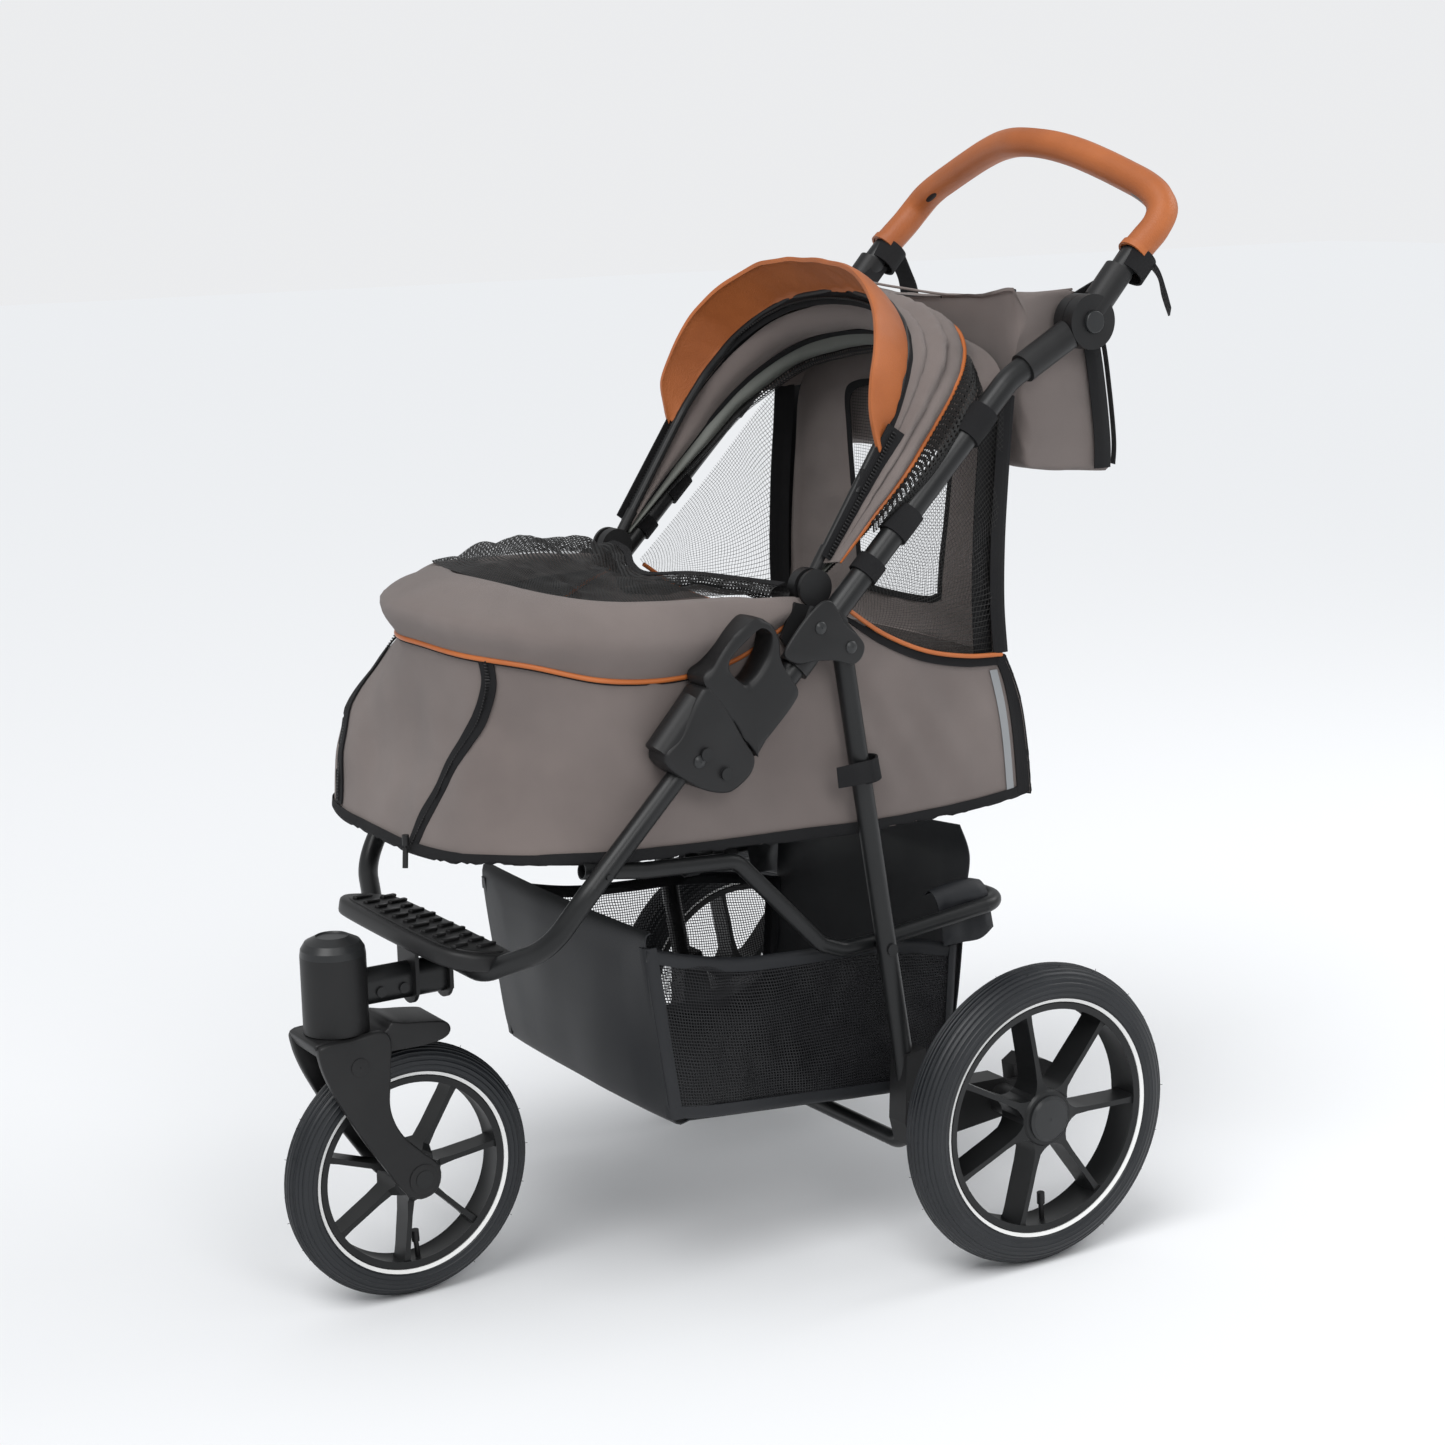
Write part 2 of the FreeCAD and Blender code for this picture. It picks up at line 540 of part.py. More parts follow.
base_outline = local([
    (384, 552), (377, 535), (358, 521), (338, 513), (318, 510), (300, 515), (290, 528), (290, 540),
    (305, 568), (323.5, 598.5), (336, 618), (347, 604), (358, 589),
])
slide_outline = local([
    (287, 544), (239, 593), (243, 603), (246, 618), (254, 648), (263, 665), (277, 669), (291, 664),
    (307, 654), (323, 636), (333.5, 620), (321, 598.5), (302.5, 568),
])
finger_loop = local([(270, 657), (263, 648), (274, 628), (297, 605), (309, 617), (314, 629), (290, 652)])
pins = []
for side, sign in (("left", 1), ("right", -1)):
    x = sign * D["tube_x"]
    outer = x - cheek_gap - CHEEK
    width = 2 * (cheek_gap + CHEEK)
    lower_solid = swept(rounded_path([(x, *on_lower(-95)), (x, *on_lower(LOWER_TOP))], 10),
                        D["lower_d"] / 2)
    upper_solid = swept(rounded_path([(x, *on_upper(-60)), (x, *on_upper(150))], 10),
                        D["upper_d"] / 2 + D["running_gap"])
    plate = prism_x(base_outline, outer, outer + width)
    room = slab(x - cheek_gap, x + cheek_gap, fold_y - 200, fold_y + 200, 400, 800)
    clamp = swept(rounded_path([(x, *on_lower(-32)), (x, *on_lower(20))], 10), D["lower_d"] / 2 + 4)
    plate = plate.cut(room).fuse(clamp.common(prism_x(base_outline, outer, outer + width)))
    plate = plate.cut(lower_solid)
    for y, z in ((fold_y, fold_up), (rivet_y, rivet_z)):
        shank = bar_x(outer - 2.5, outer + width + 2.5, y, z, D["pin_r"])
        plate = plate.cut(shank)
        pins.append(shank.fuse(bar_x(outer - 2.5, outer, y, z, 6)).fuse(
            bar_x(outer + width, outer + width + 2.5, y, z, 6)))
    link_shank = bar_x(*sorted((sign * (D["link_x"] - D["link_d"] / 2 - 1.5),
                                sign * (D["tube_x"] + D["lower_d"] / 2 + 3))), link_y, link_z, D["pin_r"])
    pins.append(link_shank)
    node(shaped("latch_base_" + side, plate), "latch_base_" + side)

    shell = prism_x(slide_outline, outer, outer + width)
    shell = shell.cut(prism_x(finger_loop, outer - 1, outer + width + 1))
    swing = swept(rounded_path([(x, *on_lower(-20)), (x, *on_lower(LOWER_TOP + 1))], 10),
                  D["lower_d"] / 2 + 1)
    swing = swing.fuse(swing.translated(V(0, -30, 30)))
    swing = swing.fuse(slab(x - cheek_gap, x + cheek_gap, y_of(345), y_of(288), 540, 596))
    shell = shell.cut(swing).cut(upper_solid)
    shell = max(shell.Solids, key=lambda solid: solid.Volume)
    node(shaped("latch_slide_" + side, shell), "latch_slide_" + side)
node(shaped("frame_rivets", Part.makeCompound(pins)), "frame_rivets")

# ---------------------------------------------------------------- upper tubes and handle hinges
hinge_y = y_of(D["hinge_ahead"])
hinge_z = D["hinge_z"]
bend = (y_of(D["handle_bend_ahead"]), on_upper((D["fold_ahead"] - D["handle_bend_ahead"])
                                               / math.cos(math.radians(D["slope"])))[1])
run_in = V(0, hinge_y - bend[0], hinge_z - bend[1]).normalize()
arm_angle = math.radians(48)
run_out = V(0, math.cos(arm_angle), math.sin(arm_angle))
bracket_outline = local([
    (219, 676), (203, 671), (189, 667), (168, 643), (165, 632), (170, 621), (184, 618), (206, 625),
    (227, 630), (236, 644),
])
canopy_y = y_of(D["canopy_ahead"])
canopy_z = D["canopy_z"]
leg_y = y_of(D["leg_ahead"])
MOUNT_IN = 190.0
hinge_pins = []
pivot_pins = []
for side, sign in (("left", 1), ("right", -1)):
    x = sign * D["tube_x"]
    path = [(x, *on_upper(-9)), (x, *bend),
            (x, hinge_y - 31 * run_in.y, hinge_z - 31 * run_in.z)]
    stile = tube(path, 60, D["upper_d"], D["tube_wall"])
    stile = stile.cut(bar_x(x - 30, x + 30, fold_y, fold_up, D["pin_r"] + D["running_gap"]))
    node(shaped("upper_tube_" + side, stile), "upper_tube_" + side)

    whole = swept(rounded_path(path, 60), D["upper_d"] / 2)
    start = V(x, hinge_y, hinge_z) - run_in * 86
    sleeve = Part.makeCylinder(D["upper_d"] / 2 + 3, 86, start, run_in)
    keep_out = bar_x(*sorted((x, x + sign * 40)), hinge_y, hinge_z, D["hinge_r"] + 1)
    disc = bar_x(*sorted((x - sign * 14, x - sign * 0.3)), hinge_y, hinge_z, D["hinge_r"])
    hinge_pin = bar_x(*sorted((x - sign * 10, x + sign * 4)), hinge_y, hinge_z, 4)
    inner_half = sleeve.cut(keep_out).fuse(disc).cut(whole).cut(hinge_pin)
    inner_half = inner_half.cut(bar_x(*sorted((x - sign * 0.3, x + sign)), hinge_y, hinge_z, D["hinge_r"] + 1))
    node(shaped("hinge_base_" + side, inner_half), "hinge_base_" + side)
    hinge_pins.append(hinge_pin)

    plates = prism_x(bracket_outline, x - 16, x + 16)
    plates = plates.cut(slab(x - 12, x + 12, leg_y - 80, leg_y + 80, 500, 800))
    saddle = swept(rounded_path([(x, *on_upper(146)), (x, *on_upper(190))], 10), D["upper_d"] / 2 + 4)
    saddle = saddle.common(slab(x - 16, x + 16, leg_y - 200, leg_y + 200, 500, 800))
    lug = bar_x(*sorted((x - sign * 16, x - sign * 12.2)), canopy_y, canopy_z, 18)
    lug = lug.fuse(bar_x(*sorted((x - sign * (D["tube_x"] - MOUNT_IN), x - sign * 15)), canopy_y, canopy_z, 15))
    mount = plates.fuse(saddle).fuse(lug).cut(whole)
    shank = bar_x(*sorted((x - 18, x + 18)), leg_y, D["leg_z"], D["pin_r"])
    stub = bar_x(*sorted((sign * 176.0, sign * 197.0)), canopy_y, canopy_z, D["pin_r"])
    mount = mount.cut(shank).cut(stub)
    mount = mount.cut(bar_x(x - 12, x + 12, leg_y, D["leg_z"], D["leg_d"] / 2 + 1.4))
    node(shaped("leg_bracket_" + side, max(mount.Solids, key=lambda s: s.Volume)), "leg_bracket_" + side)
    pivot_pins += [shank, stub]
node(shaped("hinge_pins", Part.makeCompound(hinge_pins)), "hinge_pins")
node(shaped("pivot_pins", Part.makeCompound(pivot_pins)), "pivot_pins")

# ---------------------------------------------------------------- handle
grip_points = [
    (D["grip_x"], y_of(D["grip_ahead"] - 3), D["grip_z"] + 4),
    (D["grip_x"], y_of(D["grip_ahead"] - 30), D["grip_z"] + 27),
    (D["grip_x"] - 6, y_of(D["grip_ahead"] - 48), D["grip_z"] + 50),
    (150.0, y_of(D["grip_ahead"] - 47), D["top_z"] - 37),
    (75.0, y_of(D["grip_ahead"] - 40), D["top_z"] - 12),
    (0.0, y_of(D["grip_ahead"] - 27), D["top_z"]),
]
arm_start = (D["tube_x"], hinge_y + 31 * run_out.y, hinge_z + 31 * run_out.z)
half_handle = [arm_start] + grip_points
handle_points = half_handle + [(-x, y, z) for x, y, z in reversed(half_handle[:-1])]
handle_solid = swept(rounded_path(handle_points, 20), D["handle_d"] / 2)
handle_tube = tube(handle_points, 20, D["handle_d"], D["tube_wall"])
node(shaped("handle_tube", handle_tube), "handle_tube")
wrap_points = grip_points + [(-x, y, z) for x, y, z in reversed(grip_points[:-1])]
wrap = swept(rounded_path(wrap_points, 20), D["grip_d"] / 2).cut(handle_solid)
node(shaped("handle_grip", max(wrap.Solids, key=lambda s: s.Volume)), "handle_grip")
for side, sign in (("left", 1), ("right", -1)):
    x = sign * D["tube_x"]
    sleeve = Part.makeCylinder(D["handle_d"] / 2 + 3, 64, V(x, hinge_y, hinge_z), run_out)
    keep_out = bar_x(*sorted((x, x - sign * 40)), hinge_y, hinge_z, D["hinge_r"] + 1)
    disc = bar_x(*sorted((x + sign * 0.3, x + sign * 14)), hinge_y, hinge_z, D["hinge_r"])
    outer_half = sleeve.cut(keep_out).fuse(disc).cut(handle_solid)
    outer_half = outer_half.cut(bar_x(*sorted((x, x + sign * 4.2)), hinge_y, hinge_z,
                                      4 + D["running_gap"]))
    outer_half = outer_half.cut(bar_x(*sorted((x + sign * 6, x + sign * 20)), hinge_y, hinge_z,
                                      D["button_r"] + D["running_gap"]))
    outer_half = outer_half.cut(bar_x(*sorted((x - sign, x + sign * 0.3)), hinge_y, hinge_z,
                                      D["hinge_r"] + 1))
    outer_half = outer_half.cut(wrap)
    node(shaped("hinge_shell_" + side, max(outer_half.Solids, key=lambda s: s.Volume)),
         "hinge_shell_" + side)
    press = bar_x(*sorted((x + sign * (6.5 + D["button_travel"]), x + sign * 18)), hinge_y, hinge_z,
                  D["button_r"])
    press = press.makeFillet(1.5, [e for e in press.Edges if abs(e.BoundBox.XMin - x - sign * 18) < .01
                                   and abs(e.BoundBox.XMax - x - sign * 18) < .01])
    node(shaped("hinge_button_" + side, press), "hinge_button_" + side)

# ---------------------------------------------------------------- canopy
tilt = math.radians(D["canopy_angle"])


def arch(x, radius, angle=tilt):
    """A point of the canopy at this half-width and distance from the pivot line."""
    return (x, canopy_y + radius * math.cos(angle), canopy_z + radius * math.sin(angle))


HOOD_LINE = [(184, 20), (184, 165), (177, 208), (157, 252), (126, 283), (86, 304), (0, D["bow_reach"])]
bow_half = [arch(x, r) for x, r in HOOD_LINE]
bow_points = bow_half + [(-x, y, z) for x, y, z in reversed(bow_half[:-1])]
node(shaped("canopy_bow", swept(rounded_path(bow_points, 60), 4.5)), "canopy_bow")
bow_solid = swept(rounded_path(bow_points, 60), 4.5)
hubs = []
for side, sign in (("left", 1), ("right", -1)):
    hub = bar_x(*sorted((sign * 178.0, sign * (MOUNT_IN - 0.3))), canopy_y, canopy_z, 18)
    socket = swept(rounded_path([arch(sign * 184, 10), arch(sign * 184, 42)], 10), 5.9)
    hub = hub.fuse(socket).cut(bow_solid)
    hub = hub.cut(bar_x(*sorted((sign * 170.0, sign * 195.0)), canopy_y, canopy_z, D["pin_r"] + D["running_gap"]))
    hubs.append(max(hub.Solids, key=lambda s: s.Volume))
node(shaped("canopy_hubs", Part.makeCompound(hubs)), "canopy_hubs")


def hood_band(grow_out, grow_in, first, last, bottom):
    """A thin skin over the bow line, swung about the canopy pivot between two angles."""
    def rim(grow):
        line = [(184 + grow, bottom), (184 + grow, 165), (177 + grow, 208 + 0.2 * grow),
                (157 + 0.8 * grow, 252 + 0.5 * grow), (126 + 0.6 * grow, 283 + 0.8 * grow),
                (86 + 0.3 * grow, 304 + grow), (0, D["bow_reach"] + grow)]
        right = [(-x, r) for x, r in reversed(line[:-1])]
        return [V(x, canopy_y + r, canopy_z) for x, r in line + right]

    out, inn = rim(grow_out), rim(grow_in)
    face = Part.Face(Part.makePolygon(out + list(reversed(inn)) + [out[0]]))
    face.rotate(V(0, canopy_y, canopy_z), V(1, 0, 0), first)
    return face.revolve(V(0, canopy_y, canopy_z), V(1, 0, 0), last - first)


visor = hood_band(9, 6, D["canopy_angle"] + 1, D["canopy_angle"] + 12, 150)
node(shaped("canopy_visor", visor), "canopy_visor")
hood = hood_band(-6.2, -8.7, D["slope"] + 1, D["canopy_angle"], 60)
node(shaped("canopy_hood", hood), "canopy_hood")

# ---------------------------------------------------------------- rear legs, axle carriers, beam and brakes
axle_y = D["axle_y"]
foot_y = y_of(D["leg_foot_ahead"])
foot_z = D["leg_foot_z"]
cross_y = y_of(D["cross_ahead"])
beam_y = foot_y - 4
beam_half = [(D["tube_x"], beam_y, foot_z - 2), (D["tube_x"] - 18, beam_y, foot_z - 20),
             (0, beam_y, foot_z - 22)]
beam_points = beam_half + [(-x, y, z) for x, y, z in reversed(beam_half[:-1])]
beam_solid = swept(rounded_path(beam_points, 24), D["beam_d"] / 2)
node(shaped("axle_beam", tube(beam_points, 24, D["beam_d"], D["tube_wall"])), "axle_beam")
carrier_outline = [
    (foot_y - 17, foot_z + 80), (foot_y + 5, foot_z + 84), (foot_y + 16, foot_z + 38),
    (axle_y - 40, D["rear_r"] + 22), (axle_y + 4, D["rear_r"] + 20), (axle_y + 18, D["rear_r"] + 8),
    (axle_y + 18, D["rear_r"] - 10), (axle_y + 4, D["rear_r"] - 20), (foot_y + 30, foot_z - 12),
    (foot_y + 8, foot_z - 20), (foot_y - 14, foot_z - 14), (foot_y - 20, foot_z + 10),
]
pedal_outline = [
    (axle_y + 21, D["rear_r"] + 28), (axle_y + 34, D["rear_r"] + 36), (axle_y + 62, D["rear_r"] + 26),
    (axle_y + 92, D["rear_r"] + 10), (axle_y + 88, D["rear_r"] + 2), (axle_y + 56, D["rear_r"] - 2),
    (axle_y + 42, D["rear_r"] - 12), (axle_y + 31, D["rear_r"] - 8), (axle_y + 25, D["rear_r"] - 5),
]
pedal_y = axle_y + 32
pedal_z = D["rear_r"] + 6
link_rivets = []
axles = []
for side, sign in (("left", 1), ("right", -1)):
    x = sign * D["tube_x"]
    leg_points = [(x, leg_y, D["leg_z"] + 9), (x, foot_y, foot_z)]
    leg = tube(leg_points, 10, D["leg_d"], D["tube_wall"])
    leg = leg.cut(bar_x(x - 20, x + 20, leg_y, D["leg_z"], D["pin_r"] + D["running_gap"]))
    shoulders = slab(x - 20, x + 20, leg_y - 30, leg_y + 30, D["leg_z"], D["leg_z"] + 40)
    leg = leg.cut(shoulders.cut(bar_x(x - 21, x + 21, leg_y, D["leg_z"], D["leg_d"] / 2 + 0.4)))
    rivet = bar_x(*sorted((sign * (D["link_x"] + D["link_d"] / 2 + 2), x + sign * 12)),
                  cross_y, D["cross_z"], D["pin_r"])
    leg = leg.cut(rivet).cut(beam_solid)
    node(shaped("rear_leg_" + side, max(leg.Solids, key=lambda s: s.Volume)), "rear_leg_" + side)
    rivet = rivet.fuse(bar_x(*sorted((x + sign * 10, x + sign * 12.5)), cross_y, D["cross_z"], 6)
                       .cut(swept(rounded_path(leg_points, 10), D["leg_d"] / 2)))
    link_rivets.append(rivet)

    carrier = prism_x(carrier_outline, x - 14, x + 14)
    boss = bar_x(*sorted((x, sign * (D["rear_x"] - 21))), axle_y, D["rear_r"], 15)
    arm = prism_x([(axle_y + 4, D["rear_r"] + 16), (pedal_y, pedal_z + 9), (pedal_y + 8, pedal_z),
                   (pedal_y, pedal_z - 9), (axle_y + 4, D["rear_r"] - 16)],
                  *sorted((x + sign * 8, x + sign * 14)))
    peg = bar_x(*sorted((x - sign * 13, x + sign * 9)), pedal_y, pedal_z, 5)
    carrier = carrier.fuse(boss).fuse(arm).fuse(peg)
    axle = bar_x(*sorted((x - sign * 8, sign * (D["rear_x"] + 19))), axle_y, D["rear_r"], D["rear_axle_r"])
    carrier = carrier.cut(swept(rounded_path(leg_points, 10), D["leg_d"] / 2)).cut(beam_solid).cut(axle)
    node(shaped("axle_carrier_" + side, max(carrier.Solids, key=lambda s: s.Volume)), "axle_carrier_" + side)
    axles.append(axle)

    pedal = prism_x(pedal_outline, *sorted((x - sign * 13, x + sign * 7)))
    pedal = pedal.cut(bar_x(x - 30, x + 30, pedal_y, pedal_z, 5 + D["running_gap"]))
    node(shaped("brake_pedal_" + side, pedal), "brake_pedal_" + side)
node(shaped("link_rivets", Part.makeCompound(link_rivets)), "link_rivets")
node(shaped("rear_axles", Part.makeCompound(axles)), "rear_axles")

# ---------------------------------------------------------------- basket tube and basket
half_link = [
    (D["link_x"], link_y - 9, link_z), (D["link_x"], y_of(385), 440), (D["link_x"], y_of(284), 434),
    (D["link_x"], y_of(189), 336), (D["link_x"], y_of(163), 326), (D["link_x"], cross_y, D["cross_z"]),
    (D["link_x"], y_of(D["basket_rear"] - 12), 345), (0, y_of(D["basket_rear"] - 12), 347),
]
link_points = half_link + [(-x, y, z) for x, y, z in reversed(half_link[:-1])]
link_tube = tube(link_points, 24, D["link_d"], D["tube_wall"])
for y, z in ((link_y, link_z), (cross_y, D["cross_z"])):
    link_tube = link_tube.cut(bar_x(-300, 300, y, z, D["pin_r"] + D["running_gap"]))
node(shaped("basket_tube", link_tube), "basket_tube")


def tub(outline_outer, outline_inner, half, wall):
    """A fabric box: side outline across the full width, less the same inside its walls."""
    outside = prism_x(outline_outer, -half, half)
    return outside.cut(prism_x(outline_inner, wall - half, half - wall))


CL = D["cloth"]
rim = D["basket_rim"]
low = D["basket_low"]
basket = tub(local([(D["basket_front"], rim), (D["basket_front"] - 22, low + 6), (92, low - 20),
                    (40, low - 14), (8, rim)]),
             local([(D["basket_front"] - CL, rim + 1), (D["basket_front"] - 24, low + 9),
                    (92, low - 17), (42, low - 11), (8 + CL, rim + 1)]),
             D["basket_half"], CL)
node(shaped("basket", basket), "basket")

# ---------------------------------------------------------------- cabin
half = D["cabin_half"]
floor_low = D["cabin_low"]
front = D["cabin_front"]
rear = D["cabin_rear"]


def plan_block(width, ahead, behind, cut, z0, z1):
    """A block whose two front corners are cut off, seen from above."""
    y0, y1 = y_of(ahead), y_of(behind)
    points = [(-width + cut, y0), (width - cut, y0), (width, y0 + cut), (width, y1), (-width, y1),
              (-width, y0 + cut), (-width + cut, y0)]
    face = Part.Face(Part.makePolygon([V(x, y, z0) for x, y in points]))
    return face.extrude(V(0, 0, z1 - z0))


shell_outer = local([
    (front, floor_low), (rear, floor_low), (-30, 593), (161, 655), (215, 660), (300, 640), (408, 622),
    (532, 650), (513, 565),
])
shell_inner = local([
    (front - 8, floor_low + CL), (rear + CL, floor_low + CL), (-27, 596), (161, 700), (300, 700),
    (408, 700), (532 - CL, 700), (532 - CL, 652), (513 - CL, 565),
])
tub_solid = prism_x(shell_outer, -half, half).common(plan_block(half, front + 5, rear - 5, 34, 400, 800))
tub_room = prism_x(shell_inner, -half, half).common(
    plan_block(half - CL, front + 5 - CL, rear - 5, 34, 400, 800))
cabin_tub = tub_solid.cut(tub_room).cut(swept(rounded_path(link_points, 24), D["link_d"] / 2 + 0.8))
node(shaped("cabin_tub", max(cabin_tub.Solids, key=lambda s: s.Volume)), "cabin_tub")

collar_outer = local([(532, 651), (408, 623), (300, 641), (220, 660), (220, 676), (300, 678), (455, 692),
                      (510, 680), (530, 662)])
collar_inner = local([(545, 600), (408, 600), (200, 600), (200, 720), (520, 720), (538, 680)])
ring_out = prism_x(collar_outer, -half, half).common(plan_block(half, front + 5, rear - 5, 34, 400, 800))
cabin_collar = ring_out.cut(plan_block(half - 10, 515, 150, 34, 400, 800))
node(shaped("cabin_collar", max(cabin_collar.Solids, key=lambda s: s.Volume)), "cabin_collar")

board = plan_block(half - 16, front - 18, rear + 12, 30, floor_low + CL + 0.3,
                   floor_low + CL + 0.3 + D["board"])
node(shaped("cabin_floor", board), "cabin_floor")
mat_low = floor_low + CL + 0.6 + D["board"]
mat = plan_block(half - 18, front - 22, rear + 14, 30, mat_low, mat_low + 16)
node(shaped("cabin_mat", mat), "cabin_mat")

back_outer = local([(196, 676), (-2, 868), (-14, 800), (-29, 594), (161, 656)])
back_inner = local([(196, 690), (2, 878), (-11, 800), (-25, 600), (161, 659.5)])
cabin_back = prism_x(back_outer, -half + 9, half - 9).cut(
    prism_x(back_inner, -half + 9 + CL, half - 9 - CL))
node(shaped("cabin_back", max(cabin_back.Solids, key=lambda s: s.Volume)), "cabin_back")
roll = bar_x(-120, 120, y_of(488), D["cabin_rim"] + 3, 10)
node(shaped("mesh_cover", roll), "mesh_cover")

# ---------------------------------------------------------------- organiser bag
bag_outline = local([(-43, 788), (-72, 944), (-125, 946), (-163, 850), (-155, 771)])
bag_room = local([(-47, 792), (-75, 950), (-122, 952), (-159, 850), (-151, 775)])
bag = prism_x(bag_outline, -D["bag_half"], D["bag_half"]).cut(
    prism_x(bag_room, -D["bag_half"] + CL, D["bag_half"] - CL))
node(shaped("organiser_bag", bag), "organiser_bag")
bands = []
for sign in (1, -1):
    band = slab(*sorted((sign * 150.0, sign * 175.0)), y_of(-119), y_of(-121), 900, 1040)
    bands.append(band.cut(bag).cut(prism_x(bag_room, -300, 300)))
strap = Part.makeCompound([max(b.Solids, key=lambda s: s.Volume) for b in bands])
node(shaped("bag_straps", strap), "bag_straps")

# ---------------------------------------------------------------- check every piece and write it out
doc.recompute()
for thing in doc.Objects:
    if "Invalid" in thing.State or "Error" in thing.State:
        raise RuntimeError("object %s is in state %s" % (thing.Name, thing.State))
os.makedirs("parts", exist_ok=True)
for thing in NODES:
    if thing.Shape.isNull() or not thing.Shape.isValid():
        raise RuntimeError("piece %s has no valid shape" % thing.Label)
    thing.Shape.exportStep("parts/%s.step" % thing.Label)
doc.recompute()
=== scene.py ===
import bpy
import math
from mathutils import Matrix, Vector, noise


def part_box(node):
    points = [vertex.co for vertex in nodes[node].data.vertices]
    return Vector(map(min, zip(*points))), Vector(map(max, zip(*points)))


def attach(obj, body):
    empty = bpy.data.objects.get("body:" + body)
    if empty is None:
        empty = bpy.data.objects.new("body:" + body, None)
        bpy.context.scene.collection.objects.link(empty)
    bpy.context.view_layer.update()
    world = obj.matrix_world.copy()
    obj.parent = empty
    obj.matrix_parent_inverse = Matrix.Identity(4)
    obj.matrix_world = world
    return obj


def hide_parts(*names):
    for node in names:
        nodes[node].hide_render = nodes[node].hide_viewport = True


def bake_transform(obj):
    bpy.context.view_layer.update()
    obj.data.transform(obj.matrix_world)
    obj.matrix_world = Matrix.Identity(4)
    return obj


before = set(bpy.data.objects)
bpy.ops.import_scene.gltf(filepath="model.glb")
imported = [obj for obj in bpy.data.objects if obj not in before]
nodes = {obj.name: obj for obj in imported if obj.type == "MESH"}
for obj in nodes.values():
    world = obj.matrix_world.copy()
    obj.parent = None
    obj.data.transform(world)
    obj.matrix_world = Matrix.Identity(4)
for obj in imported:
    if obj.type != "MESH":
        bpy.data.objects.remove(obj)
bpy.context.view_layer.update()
axle_low, axle_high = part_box("rear_axles")
AXLE_Y = (axle_low.y + axle_high.y) / 2


def mm(x, y, z):
    """A point in millimetres, measured back from the rear axle, as metres in the frame."""
    return Vector((x / 1000, AXLE_Y + y / 1000, z / 1000))


# ------------------------------------------------------------------ camera, light and floor
def set_stage():
    """Camera, soft studio light and a pale floor."""
    bpy.ops.object.camera_add()
    camera = bpy.context.object
    azimuth, pitch, roll = math.radians(58.53), math.radians(11.51), math.radians(1.32)
    forward = Vector((-math.sin(azimuth) * math.cos(pitch), math.cos(azimuth) * math.cos(pitch),
                      -math.sin(pitch)))
    right = Vector((math.cos(azimuth), math.sin(azimuth), 0))
    up = right.cross(forward)
    spin = Matrix.Rotation(roll, 3, forward)
    right, up = spin @ right, spin @ up
    camera.matrix_world = Matrix((
        (right.x, up.x, -forward.x, 0), (right.y, up.y, -forward.y, 0),
        (right.z, up.z, -forward.z, 0), (0, 0, 0, 1)))
    camera.location = mm(2384.6, -1639.8, 1093.2)
    camera.data.sensor_width = 36
    camera.data.lens = 70.05
    camera.data.clip_end = 60
    bpy.context.scene.camera = camera

    world = bpy.data.worlds.new("studio air")
    world.use_nodes = True
    air = world.node_tree
    lit = air.nodes["Background"]
    lit.inputs["Color"].default_value = (0.97, 0.985, 1.0, 1)
    lit.inputs["Strength"].default_value = 0.56
    seen = air.nodes.new("ShaderNodeBackground")
    seen.inputs["Color"].default_value = (0.835, 0.842, 0.855, 1)
    path = air.nodes.new("ShaderNodeLightPath")
    pick = air.nodes.new("ShaderNodeMixShader")
    air.links.new(path.outputs["Is Camera Ray"], pick.inputs[0])
    air.links.new(lit.outputs[0], pick.inputs[1])
    air.links.new(seen.outputs[0], pick.inputs[2])
    air.links.new(pick.outputs[0], air.nodes["World Output"].inputs["Surface"])
    bpy.context.scene.world = world
    bpy.ops.object.light_add(type="SUN", location=(0, 0, 4))
    key = bpy.context.object
    key.data.energy = 1.75
    key.data.angle = math.radians(38)
    key.rotation_euler = Vector((-0.75, 1.35, -2.3)).to_track_quat("-Z", "Y").to_euler()
    for where, aim, size, power in (
        ((2.9, -0.6, 2.2), (0, 0, 0.5), 1.4, 26),
        ((0.6, 2.6, 2.3), (0, 0.2, 0.6), 1.6, 20),
    ):
        bpy.ops.object.light_add(type="AREA", location=where)
        lamp = bpy.context.object
        lamp.data.shape = "DISK"
        lamp.data.size = size
        lamp.data.energy = power
        lamp.rotation_euler = (Vector(aim) - Vector(where)).to_track_quat("-Z", "Y").to_euler()
    bpy.context.scene.view_settings.view_transform = "Standard"

    bpy.ops.mesh.primitive_plane_add(size=40)
    floor = bpy.context.object
    floor.name = "studio_floor"
    paper = bpy.data.materials.new("pale paper")
    paper.use_nodes = True
    shader = paper.node_tree.nodes["Principled BSDF"]
    shader.inputs["Base Color"].default_value = (0.835, 0.845, 0.86, 1)
    shader.inputs["Roughness"].default_value = 1.0
    shader.inputs["Specular IOR Level"].default_value = 0.0
    floor.data.materials.append(paper)


set_stage()


# ------------------------------------------------------------------ finishes
def tool_group(name, inputs, outputs):
    """An empty shader node group with named sockets."""
    group = bpy.data.node_groups.new(name, "ShaderNodeTree")
    for label, kind, value in inputs:
        socket = group.interface.new_socket(name=label, in_out="INPUT", socket_type=kind)
        if value is not None:
            socket.default_value = value
    for label, kind in outputs:
        group.interface.new_socket(name=label, in_out="OUTPUT", socket_type=kind)
    return group, group.nodes.new("NodeGroupInput"), group.nodes.new("NodeGroupOutput")


